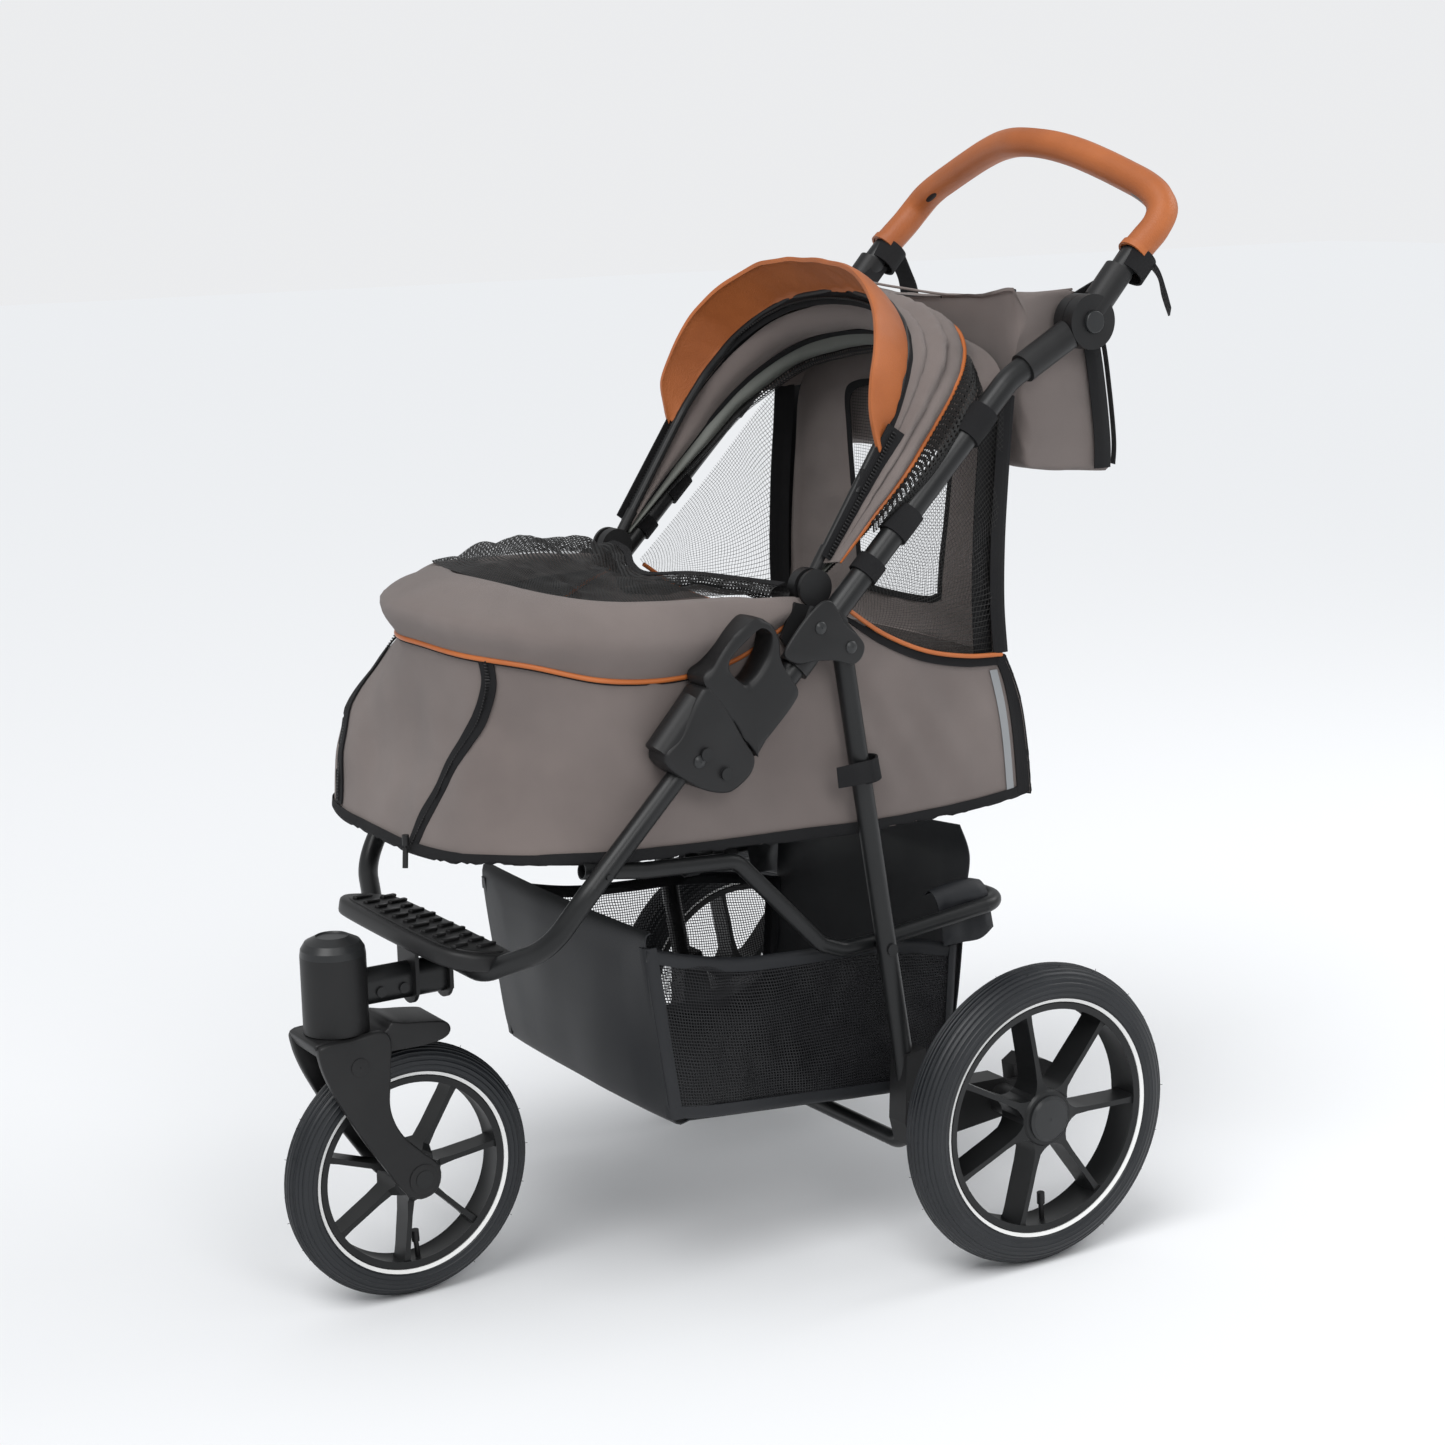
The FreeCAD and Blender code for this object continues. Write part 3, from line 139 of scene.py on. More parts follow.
def maths(tree, operation, a, b=None):
    """A Math node; a and b are sockets or numbers."""
    step = tree.nodes.new("ShaderNodeMath")
    step.operation = operation
    for slot, value in zip(step.inputs, (a, b)):
        if value is None:
            continue
        if isinstance(value, (int, float)):
            slot.default_value = value
        else:
            tree.links.new(value, slot)
    return step.outputs[0]


def make_weave():
    """Crossing threads on the cloth's own lengthwise and crosswise measure, in metres."""
    group, enter, leave = tool_group("woven threads", [("Threads per metre", "NodeSocketFloat", 1800.0)],
                                     [("Height", "NodeSocketFloat"), ("Shade", "NodeSocketFloat")])
    cloth = group.nodes.new("ShaderNodeUVMap")
    cloth.uv_map = "cloth"
    apart = group.nodes.new("ShaderNodeSeparateXYZ")
    group.links.new(cloth.outputs[0], apart.inputs[0])
    waves = []
    for axis in (0, 1):
        turns = maths(group, "MULTIPLY", apart.outputs[axis], enter.outputs[0])
        waves.append(maths(group, "SINE", maths(group, "MULTIPLY", turns, math.pi)))
    checks = maths(group, "MULTIPLY", waves[0], waves[1])
    group.links.new(maths(group, "ABSOLUTE", checks), leave.inputs[0])
    patches = group.nodes.new("ShaderNodeTexNoise")
    place = group.nodes.new("ShaderNodeTexCoord")
    group.links.new(place.outputs["Object"], patches.inputs["Vector"])
    patches.inputs["Scale"].default_value = 9
    patches.inputs["Detail"].default_value = 5
    group.links.new(patches.outputs["Fac"], leave.inputs[1])
    return group


def make_grain():
    """Fine grain for moulded, painted and leather faces, with slow patches of tone."""
    group, enter, leave = tool_group("surface grain", [("Size", "NodeSocketFloat", 900.0),
                                                      ("Patches", "NodeSocketFloat", 14.0)],
                                     [("Height", "NodeSocketFloat"), ("Shade", "NodeSocketFloat")])
    place = group.nodes.new("ShaderNodeTexCoord")
    for row, size in enumerate((enter.outputs[0], enter.outputs[1])):
        speck = group.nodes.new("ShaderNodeTexNoise")
        group.links.new(place.outputs["Object"], speck.inputs["Vector"])
        group.links.new(size, speck.inputs["Scale"])
        speck.inputs["Detail"].default_value = 4
        group.links.new(speck.outputs["Fac"], leave.inputs[row])
    return group


def make_cells():
    """Pebbled hide: rounded cells with soft creases between them."""
    group, enter, leave = tool_group("hide cells", [("Size", "NodeSocketFloat", 650.0)],
                                     [("Height", "NodeSocketFloat")])
    place = group.nodes.new("ShaderNodeTexCoord")
    pebbles = group.nodes.new("ShaderNodeTexVoronoi")
    pebbles.feature = "SMOOTH_F1"
    group.links.new(place.outputs["Object"], pebbles.inputs["Vector"])
    group.links.new(enter.outputs[0], pebbles.inputs["Scale"])
    group.links.new(pebbles.outputs["Distance"], leave.inputs[0])
    return group


def make_net():
    """Open netting: a mask of threads round small holes, on the cloth's own measure."""
    group, enter, leave = tool_group("open net", [("Holes per metre", "NodeSocketFloat", 420.0),
                                                 ("Thread", "NodeSocketFloat", 0.3)],
                                     [("Cover", "NodeSocketFloat")])
    cloth = group.nodes.new("ShaderNodeUVMap")
    cloth.uv_map = "cloth"
    apart = group.nodes.new("ShaderNodeSeparateXYZ")
    group.links.new(cloth.outputs[0], apart.inputs[0])
    parts = []
    for axis in (0, 1):
        turns = maths(group, "MULTIPLY", apart.outputs[axis], enter.outputs[0])
        parts.append(maths(group, "LESS_THAN", maths(group, "FRACT", turns), enter.outputs[1]))
    group.links.new(maths(group, "MAXIMUM", parts[0], parts[1]), leave.inputs[0])
    return group


WEAVE, GRAIN, CELLS, NET = make_weave(), make_grain(), make_cells(), make_net()


def finish(name, dark, light, roughness, group, bump=0.1, distance=0.0004, shade_row=1,
           rough_spread=0.08, values=(), **sockets):
    """A material whose colour and roughness drift between two tones and whose bump is a group's height."""
    material = bpy.data.materials.new(name)
    material.use_nodes = True
    tree = material.node_tree
    shader = tree.nodes["Principled BSDF"]
    surface = tree.nodes.new("ShaderNodeGroup")
    surface.node_tree = group
    for label, value in values:
        surface.inputs[label].default_value = value
    tone = surface.outputs[min(shade_row, len(surface.outputs) - 1)]
    if group is CELLS or group is NET:
        drift = tree.nodes.new("ShaderNodeGroup")
        drift.node_tree = GRAIN
        tone = drift.outputs[1]
    ramp = tree.nodes.new("ShaderNodeValToRGB")
    ramp.color_ramp.elements[0].position = 0.3
    ramp.color_ramp.elements[0].color = (*dark, 1)
    ramp.color_ramp.elements[1].position = 0.7
    ramp.color_ramp.elements[1].color = (*light, 1)
    tree.links.new(tone, ramp.inputs[0])
    tree.links.new(ramp.outputs[0], shader.inputs["Base Color"])
    low, high = roughness - rough_spread, roughness + rough_spread
    gloss = tree.nodes.new("ShaderNodeMapRange")
    gloss.inputs["To Min"].default_value = low
    gloss.inputs["To Max"].default_value = high
    tree.links.new(tone, gloss.inputs["Value"])
    tree.links.new(gloss.outputs[0], shader.inputs["Roughness"])
    if group is NET:
        tree.links.new(surface.outputs[0], shader.inputs["Alpha"])
    else:
        relief = tree.nodes.new("ShaderNodeBump")
        relief.inputs["Strength"].default_value = bump
        relief.inputs["Distance"].default_value = distance
        tree.links.new(surface.outputs[0], relief.inputs["Height"])
        tree.links.new(relief.outputs[0], shader.inputs["Normal"])
    for label, value in sockets.items():
        shader.inputs[label.replace("_", " ")].default_value = value
    return material


TAUPE = finish("taupe cloth", (0.158, 0.130, 0.121), (0.208, 0.173, 0.161), 0.85, WEAVE, 0.6, 0.0005,
               Sheen_Weight=0.12, Sheen_Roughness=0.5)
LINING = finish("grey green lining", (0.105, 0.112, 0.100), (0.138, 0.145, 0.13), 0.6, WEAVE, 0.2, 0.0002)
BLACK_CLOTH = finish("black ribbed cloth", (0.007, 0.007, 0.008), (0.014, 0.014, 0.015), 0.8, WEAVE, 0.7,
                     0.0005, values=[("Threads per metre", 900)], Specular_IOR_Level=0.25)
BASKET_CLOTH = finish("coated black cloth", (0.010, 0.011, 0.013), (0.017, 0.018, 0.021), 0.5, WEAVE, 0.2,
                      0.0002, Specular_IOR_Level=0.35)
WINDOW_NET = finish("window netting", (0.014, 0.014, 0.013), (0.024, 0.023, 0.022), 0.6, NET,
                    values=[("Holes per metre", 300), ("Thread", 0.125)], Specular_IOR_Level=0.3)
BASKET_NET = finish("basket netting", (0.009, 0.009, 0.010), (0.014, 0.014, 0.016), 0.5, NET,
                    values=[("Holes per metre", 330), ("Thread", 0.30)], Specular_IOR_Level=0.3)
COVER_NET = finish("gathered netting", (0.007, 0.007, 0.007), (0.012, 0.012, 0.012), 0.6, NET,
                   values=[("Holes per metre", 300), ("Thread", 0.50)], Specular_IOR_Level=0.3)
LEATHER = finish("tan leather", (0.335, 0.092, 0.022), (0.44, 0.128, 0.033), 0.5, CELLS, 0.45, 0.0006,
                 Specular_IOR_Level=0.45)
PIPING = finish("orange piping", (0.42, 0.11, 0.022), (0.50, 0.14, 0.03), 0.45, GRAIN, 0.05)
TUBE = finish("powder coated tube", (0.006, 0.0065, 0.007), (0.011, 0.0115, 0.012), 0.38, GRAIN, 0.06, 0.0002,
              values=[("Size", 1600)], Specular_IOR_Level=0.35)
PLASTIC = finish("moulded black plastic", (0.008, 0.008, 0.0085), (0.014, 0.014, 0.0145), 0.46, GRAIN, 0.15,
                 0.0003, values=[("Size", 1300)], Specular_IOR_Level=0.32)
RIM = finish("rim plastic", (0.007, 0.0075, 0.008), (0.012, 0.0125, 0.013), 0.42, GRAIN, 0.05, 0.0002,
             values=[("Size", 1500)], Specular_IOR_Level=0.32)
CAP = finish("smooth grey plastic", (0.015, 0.016, 0.017), (0.021, 0.022, 0.023), 0.35, GRAIN, 0.03,
             Specular_IOR_Level=0.4)
STEEL = finish("bright steel", (0.34, 0.34, 0.35), (0.45, 0.45, 0.46), 0.25, GRAIN, 0.03, Metallic=1.0)
WHITE = finish("reflective ring", (0.74, 0.74, 0.73), (0.82, 0.82, 0.81), 0.45, GRAIN, 0.02)
SILVER = finish("reflective strip", (0.20, 0.21, 0.22), (0.26, 0.27, 0.28), 0.4, WEAVE, 0.2, 0.0002)
BOARD = finish("floor board", (0.03, 0.03, 0.032), (0.04, 0.04, 0.042), 0.6, GRAIN)


def make_rubber():
    """Tyre rubber with fine rings round the tread and sides."""
    material = finish("tyre rubber", (0.009, 0.0105, 0.013), (0.016, 0.018, 0.021), 0.42, GRAIN, 0.1, 0.0003,
                      values=[("Size", 420)], Specular_IOR_Level=0.4)
    tree = material.node_tree
    rings = tree.nodes.new("ShaderNodeUVMap")
    rings.uv_map = "cloth"
    apart = tree.nodes.new("ShaderNodeSeparateXYZ")
    tree.links.new(rings.outputs[0], apart.inputs[0])
    wave = maths(tree, "SINE", maths(tree, "MULTIPLY", apart.outputs[1], 690.0))
    sharp = maths(tree, "POWER", maths(tree, "ABSOLUTE", wave), 6.0)
    ribs = tree.nodes.new("ShaderNodeBump")
    ribs.inputs["Strength"].default_value = 0.8
    ribs.inputs["Distance"].default_value = 0.0008
    tree.links.new(sharp, ribs.inputs["Height"])
    below = next(node for node in tree.nodes if node.type == "BUMP" and node != ribs)
    tree.links.new(below.outputs[0], ribs.inputs["Normal"])
    tree.links.new(ribs.outputs[0], tree.nodes["Principled BSDF"].inputs["Normal"])
    return material


RUBBER = make_rubber()


# ------------------------------------------------------------------ ways of making pieces
def settle(piece, material, body, smooth=50):
    """Name its finish, smooth it, bake its place into its mesh and let it ride on a body."""
    bpy.ops.object.select_all(action="DESELECT")
    piece.select_set(True)
    bpy.context.view_layer.objects.active = piece
    bpy.ops.object.transform_apply(location=True, rotation=True, scale=True)
    piece.data.materials.clear()
    piece.data.materials.append(material)
    bpy.ops.object.shade_smooth_by_angle(angle=math.radians(smooth))
    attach(piece, body)
    return piece


def apply_modifier(piece, kind, **settings):
    """Add one modifier and apply it."""
    bpy.ops.object.select_all(action="DESELECT")
    piece.select_set(True)
    bpy.context.view_layer.objects.active = piece
    modifier = piece.modifiers.new(kind, kind)
    for key, value in settings.items():
        setattr(modifier, key, value)
    bpy.ops.object.modifier_apply(modifier=modifier.name)


def through(points, count, closed=False):
    """Points spaced evenly along a smooth line through the given ones."""
    keys = [Vector(p) for p in points]
    if len(keys) == 2:
        return [keys[0].lerp(keys[1], i / count) for i in range(count + 1)]
    dense = []
    last = len(keys) if closed else len(keys) - 1
    for i in range(last):
        if closed:
            a, b, c, d = (keys[(i + k) % len(keys)] for k in (-1, 0, 1, 2))
        else:
            a, b, c, d = (keys[max(0, min(len(keys) - 1, i + k))] for k in (-1, 0, 1, 2))
        for step in range(12):
            t = step / 12
            dense.append(0.5 * (2 * b + (c - a) * t + (2 * a - 5 * b + 4 * c - d) * t * t
                                + (3 * b - a - 3 * c + d) * t ** 3))
    dense.append(keys[0] if closed else keys[-1])
    lengths = [0.0]
    for p, q in zip(dense, dense[1:]):
        lengths.append(lengths[-1] + (q - p).length)
    result, j = [], 0
    for i in range(count + 1):
        goal = lengths[-1] * i / count
        while j < len(dense) - 2 and lengths[j + 1] < goal:
            j += 1
        gap = max(lengths[j + 1] - lengths[j], 1e-9)
        result.append(dense[j].lerp(dense[j + 1], (goal - lengths[j]) / gap))
    return result


def cloth(name, columns, across, along, thick, material, body, slot=None, ripple=None, closed=False,
          smooth=80, rest=True, hug=None):
    """A sheet through columns of key points, with its own measure in metres and a real thickness."""
    lines = [through([mm(*p) for p in column], along) for column in columns]
    rows = [through([line[j] for line in lines], across, closed) for j in range(along + 1)]
    bpy.ops.mesh.primitive_grid_add(x_subdivisions=across, y_subdivisions=along, size=1)
    piece = bpy.context.object
    piece.name = name
    mesh = piece.data
    order = {}
    for vertex in mesh.vertices:
        i = round((vertex.co.x + 0.5) * across)
        j = round((vertex.co.y + 0.5) * along)
        order[vertex.index] = (i, j)
        spot = rows[j][i]
        vertex.co = spot + ripple(i / across, j / along, spot) if ripple else spot
        if hug:
            _, near, normal, _ = hug[0].closest_point_on_mesh(vertex.co)
            if (near + normal - middle_of(near)).length < (near - normal - middle_of(near)).length:
                normal = -normal
            vertex.co = near + normal * hug[1] / 1000
    run_i = [[0.0] for _ in rows]
    for j, row in enumerate(rows):
        for p, q in zip(row, row[1:]):
            run_i[j].append(run_i[j][-1] + (q - p).length)
    middle = len(rows[0]) // 2
    run_j = [0.0]
    for p, q in zip(rows, rows[1:]):
        run_j.append(run_j[-1] + (q[middle] - p[middle]).length)
    for layer in list(mesh.uv_layers):
        mesh.uv_layers.remove(layer)
    measure = mesh.uv_layers.new(name="cloth")
    for loop in mesh.loops:
        i, j = order[loop.vertex_index]
        measure.data[loop.index].uv = (run_i[j][i], run_j[j])
    if closed:
        join_doubles(piece)
    if thick:
        apply_modifier(piece, "SOLIDIFY", thickness=thick / 1000, offset=0)
    return settle(piece, material, body, smooth) if rest else piece


# how far trims stand off the tub wall, in millimetres
BINDING_LIFT, TRIM_LIFT, EDGING_LIFT = 1.7, 1.6, 1.8


def middle_of(spot):
    """A point well inside the cabin, level with the given one."""
    return Vector((spot.x * 0.3, AXLE_Y - 0.2, spot.z))


def join_doubles(piece):
    """Merge the points that meet where a sheet closes on itself."""
    bpy.ops.object.select_all(action="DESELECT")
    piece.select_set(True)
    bpy.context.view_layer.objects.active = piece
    bpy.ops.object.mode_set(mode="EDIT")
    bpy.ops.mesh.select_all(action="SELECT")
    bpy.ops.mesh.remove_doubles(threshold=0.00005)
    bpy.ops.object.mode_set(mode="OBJECT")


def cord_line(name, points, radius, material, body, closed=False, count=0, rest=True):
    """A round line, such as piping or a bent rod, through key points."""
    count = count or 14 * len(points)
    line = through([mm(*p) for p in points], count, closed)
    bpy.ops.curve.primitive_nurbs_path_add()
    piece = bpy.context.object
    piece.name = name
    curve = piece.data
    curve.splines.clear()
    spline = curve.splines.new("POLY")
    spline.points.add(len(line) - 1)
    for point, spot in zip(spline.points, line):
        point.co = (*spot, 1)
    curve.dimensions = "3D"
    curve.bevel_depth = radius / 1000
    curve.bevel_resolution = 3
    curve.use_fill_caps = True
    bpy.ops.object.select_all(action="DESELECT")
    piece.select_set(True)
    bpy.context.view_layer.objects.active = piece
    bpy.ops.object.convert(target="MESH")
    piece = bpy.context.object
    return settle(piece, material, body) if rest else piece


def ribbon(name, left, right, thick, material, body, slot=None, count=0, ripple=None, rest=True):
    """A flat strip between two lines of key points."""
    count = count or 10 * len(left)
    columns = [[a, b] for a, b in zip(left, right)]
    return cloth(name, columns, count, 2, thick, material, body, slot, ripple, rest=rest)


def join(pieces, name):
    """Several made pieces as one."""
    bpy.ops.object.select_all(action="DESELECT")
    for piece in pieces:
        piece.select_set(True)
    bpy.context.view_layer.objects.active = pieces[0]
    bpy.ops.object.join()
    pieces[0].name = name
    return pieces[0]


def ring_shape(name, profile, centre, steps=64, closed=True):
    """A shape turned about a wheel's axis: rings of (radius, sideways) drawn out one after another."""
    bpy.ops.mesh.primitive_circle_add(vertices=steps, radius=profile[0][0] / 1000,
                                      location=mm(*centre), rotation=(0, math.pi / 2, 0))
    piece = bpy.context.object
    piece.name = name
    bpy.ops.object.transform_apply(location=False, rotation=True, scale=True)
    for vertex in piece.data.vertices:
        vertex.co.x += profile[0][1] / 1000
    bpy.ops.object.mode_set(mode="EDIT")
    bpy.ops.mesh.select_all(action="SELECT")
    middle = mm(*centre)
    rounds = profile[1:] + ([profile[0]] if closed else [])
    before = profile[0]
    for radius, side in rounds:
        bpy.ops.mesh.extrude_region_move(TRANSFORM_OT_translate={"value": ((side - before[1]) / 1000, 0, 0)})
        share = radius / before[0]
        bpy.ops.transform.resize(value=(1, share, share), center_override=middle)
        before = (radius, side)
    bpy.ops.mesh.select_all(action="SELECT")
    bpy.ops.mesh.remove_doubles(threshold=0.00002)
    bpy.ops.mesh.normals_make_consistent(inside=False)
    bpy.ops.object.mode_set(mode="OBJECT")
    return piece


def plate(name, outline, x0, x1, edge, material, body, swell=0.0, rest=True):
    """A moulded plate: an outline seen from the side, drawn out sideways, with rounded edges."""
    bpy.ops.mesh.primitive_circle_add(vertices=len(outline), radius=1, fill_type="NGON")
    piece = bpy.context.object
    piece.name = name
    for vertex, (y, z) in zip(piece.data.vertices, outline):
        vertex.co = mm(x0, y, z)
    bpy.ops.object.mode_set(mode="EDIT")
    bpy.ops.mesh.select_all(action="SELECT")
    bpy.ops.mesh.extrude_region_move(TRANSFORM_OT_translate={"value": ((x1 - x0) / 1000, 0, 0)})
    if swell:
        bpy.ops.mesh.inset(thickness=swell / 1000)
        bpy.ops.transform.translate(value=(math.copysign(swell * 0.35, x1 - x0) / 1000, 0, 0))
    bpy.ops.mesh.select_all(action="SELECT")
    bpy.ops.mesh.normals_make_consistent(inside=False)
    bpy.ops.object.mode_set(mode="OBJECT")
    apply_modifier(piece, "BEVEL", width=edge / 1000, segments=3, limit_method="ANGLE",
                   angle_limit=math.radians(25))
    return settle(piece, material, body, 40) if rest else piece


# ------------------------------------------------------------------ wheels
def tyre(name, centre, radius, section, body, node, stripe):
    """Air tyre with ribbed rubber, moulding hairs and a white ring on each side."""
    columns = []
    ring_radius = radius - section
    for k in range(33):
        turn = 2 * math.pi * k / 32
        column = []
        for step in range(17):
            around = math.radians(-180 + 22.5 * step)
            r = ring_radius + section * max(math.cos(around), -0.62)
            x = section * math.sin(around)
            column.append((centre[0] + x, centre[1] + r * math.sin(turn), centre[2] + r * math.cos(turn)))
        columns.append(column)
    rubber = cloth(name + "_tyre_rubber", columns, 96, 36, 0, RUBBER, body, "tyre", closed=True, rest=False)
    bpy.ops.object.mode_set(mode="EDIT")
    bpy.ops.mesh.select_all(action="SELECT")
    bpy.ops.mesh.normals_make_consistent(inside=False)
    bpy.ops.object.mode_set(mode="OBJECT")
    settle(rubber, RUBBER, body)
    ridges = []
    for angle in (-62, -50, -39, -28, -17, -6, 6, 17, 28, 39, 50, 62):
        rows = []
        for shift, rise in ((-1.1, -0.4), (0, 0.45), (1.1, -0.4)):
            lean = math.radians(angle + shift * 1.6)
            rows.append((ring_radius + (section + rise) * math.cos(lean), (section + rise) * math.sin(lean)))
        ridges.append(ring_shape("ridge", rows, centre, 96))
    settle(join(ridges, name + "_tyre_ridges"), RUBBER, body)
    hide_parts(node)
    hairs = []
    for k in range(46):
        turn = 2 * math.pi * (k + 0.35 * math.sin(3 * k)) / 46
        side = math.radians(34 * math.sin(2.4 * k))
        length = 1.6 + 1.2 * math.sin(5 * k) ** 2
        spot = []
        for r in (section - 0.3, section + length):
            out = ring_radius + r * math.cos(side)
            spot.append((centre[0] + r * math.sin(side), centre[1] + out * math.sin(turn),
                         centre[2] + out * math.cos(turn)))
        if spot[1][2] > 4:
            hairs.append(cord_line("hair", spot, 0.28, RUBBER, body, count=1, rest=False))
    settle(join(hairs, name + "_moulding_hairs"), RUBBER, body)
    for side, sign in (("left", 1), ("right", -1)):
        reach = math.sqrt(max(section ** 2 - (stripe - ring_radius) ** 2, 0))
        inner = math.sqrt(max(section ** 2 - (stripe - 3.4 - ring_radius) ** 2, 0))
        band = ring_shape(name + "_white_ring_" + side, [
            (stripe, sign * (reach - 1.2)), (stripe, sign * (reach + 0.5)),
            (stripe - 3.4, sign * (inner + 0.5)), (stripe - 3.4, sign * (inner - 1.2))], centre, 96)
        settle(band, WHITE, body)


def rim(name, centre, seat, half, hub, hub_half, body, node, spoke_half, offset=0.2):
    """Deep rim with seven fins that flare into the hub."""
    parts = [ring_shape(name + "_barrel", [
        (seat - 7.5, half), (seat - 1.0, half + 1.2), (seat, half - 1.5), (seat - 1.5, half - 5),
        (seat - 2.0, -half + 5), (seat, -half + 1.5), (seat - 1.0, -half - 1.2), (seat - 7.5, -half),
        (seat - 5.5, -half + 6), (seat - 5.5, half - 6)], centre, 96)]
    parts.append(ring_shape(name + "_hub", [
        (hub - 7, hub_half), (hub - 2, hub_half - 0.4), (hub, hub_half - 3), (hub, -hub_half + 3),
        (hub - 2, -hub_half), (hub - 14, -hub_half), (hub - 14, hub_half - 2), (hub - 8, hub_half - 2)],
        centre, 64))
    for k in range(7):
        turn = 2 * math.pi * (k + offset) / 7
        out = Vector((0, math.sin(turn), math.cos(turn)))
        side = Vector((0, math.cos(turn), -math.sin(turn)))
        middle = mm(*centre)
        columns = []
        for share, wide, deep in ((hub - 4, 11.5, hub_half - 2), (hub + 3, 6.2, hub_half - 3.5),
                                  (hub + 9, 3.6, spoke_half), (hub + 24, 2.6, spoke_half),
                                  ((hub + seat) / 2, 2.6, spoke_half), (seat - 18, 2.7, spoke_half - 0.5),
                                  (seat - 9, 3.2, spoke_half - 0.5), (seat - 3, 6.0, spoke_half)):
            column = []
            for s, d in ((-1, -1), (-1, 1), (1, 1), (1, -1), (-1, -1)):
                spot = middle + out * share / 1000 + side * s * wide / 1000
                column.append((spot.x * 1000 + d * deep, (spot.y - AXLE_Y) * 1000, spot.z * 1000))
            columns.append(column)
        fin = straight_loft("fin", columns)
        parts.append(fin)
    piece = join(parts, name + "_rim_moulding")
    settle(piece, RIM, body, 35)
    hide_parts(node)
    valve = [(centre[0], centre[1] + 7, centre[2] - seat + 6), (centre[0] + 1, centre[1] + 5, centre[2] - seat + 22),
             (centre[0] + 2, centre[1] + 4, centre[2] - seat + 34)]
    stem = cord_line("stem", valve[:2], 2.6, RUBBER, body, count=4, rest=False)
    tip = cord_line("tip", valve[1:], 4.0, RUBBER, body, count=3, rest=False)
    settle(join([stem, tip], name + "_valve_and_cap"), PLASTIC, body)


def straight_loft(name, columns):
    """A closed bar through square sections."""
    count = len(columns) - 1
    bpy.ops.mesh.primitive_grid_add(x_subdivisions=count, y_subdivisions=4, size=1)
    piece = bpy.context.object
    piece.name = name
    for vertex in piece.data.vertices:
        i = round((vertex.co.x + 0.5) * count)
        j = round((vertex.co.y + 0.5) * 4)
        vertex.co = mm(*columns[i][j])
    join_doubles(piece)
    bpy.ops.object.mode_set(mode="EDIT")
    bpy.ops.mesh.select_all(action="SELECT")
    bpy.ops.mesh.region_to_loop()
    bpy.ops.mesh.edge_face_add()
    bpy.ops.mesh.select_all(action="SELECT")
    bpy.ops.mesh.normals_make_consistent(inside=False)
    bpy.ops.object.mode_set(mode="OBJECT")
    return piece


for side, sign in (("left", 1), ("right", -1)):
    middle = (sign * 283, 0, 152.5)
    tyre("rear_" + side, middle, 152.0, 21.8, "rear_wheel_" + side, "rear_%s_tyre" % side, 120.8)
    rim("rear_" + side, middle, 117.3, 17.5, 29, 20, "rear_wheel_" + side, "rear_%s_rim" % side, 15.5, 0.79)
FRONT = (0, -552.3, 127.5)
tyre("front", FRONT, 127.0, 18.3, "front_wheel", "front_tyre", 101.5)
rim("front", FRONT, 98, 14.5, 21, 24, "front_wheel", "front_rim", 12.5, 0.62)

# ------------------------------------------------------------------ shared lines of the cabin
PIVOT_Y, PIVOT_Z = -195.0, 687.0


def on_arch(x, reach, angle, lift=0.0):
    """A point on an arch that leans back by an angle above the rearward line through the hubs."""
    turn = math.radians(angle)
    return (x, PIVOT_Y + reach * math.cos(turn) - lift * math.sin(turn),
            PIVOT_Z + reach * math.sin(turn) + lift * math.cos(turn))


def whole(half):
    """A left half line, completed with its mirror image."""
    return half + [(-p[0],) + tuple(p[1:]) for p in reversed(half[:-1])]


def wave(points, count=200):
    """Small uneven waves for loose cloth, the same on every run."""
    return noise.noise(points * count)


def crumple(size, scale=14.0, seed=0.0, direction=None):
    """A ripple that pushes cloth to and fro by up to size millimetres."""
    def shift(u, v, spot):
        amount = noise.noise(spot * scale + Vector((seed, seed * 2, 0))) * size / 1000
        fine = noise.noise(spot * scale * 2.7 + Vector((0, seed, seed))) * size / 2600
        way = direction if direction else (Vector((1, 0, 0)) if spot.x > 0 else Vector((-1, 0, 0)))
        return way * (amount + fine) * min(1, 6 * u + 0.1, 6 * (1 - u) + 0.1, 6 * v + 0.1, 6 * (1 - v) + 0.1)
    return shift


ZIP_ANGLE, SEAM_ANGLE = 55.5, 44.5
ZIP_ARCH = whole([(190, 24), (190, 90), (189, 160), (180, 202), (160, 245), (130, 275), (90, 297), (40, 308),
                  (0, 310)])
SEAM_ARCH = whole([(203, 30), (203, 80), (203, 140), (193, 190), (184, 228), (168, 268), (141, 300),
                   (104, 322), (48, 335), (0, 338)])
ARCH_STEPS = 12


def arch_line(stations, angle, out=0.0, lift=0.0, first=0.0, last=1.0, steps=ARCH_STEPS):
    """Evenly spaced points along an arch, moved out from the hubs or across the arch."""
    flat = through([(x, 0, reach) for x, reach in stations], 96)
    line = []
    for k in range(steps + 1):
        spot = flat[round(96 * (first + (last - first) * k / steps))]
        line.append(on_arch(spot.x, spot.z + out, angle, lift))
    return line


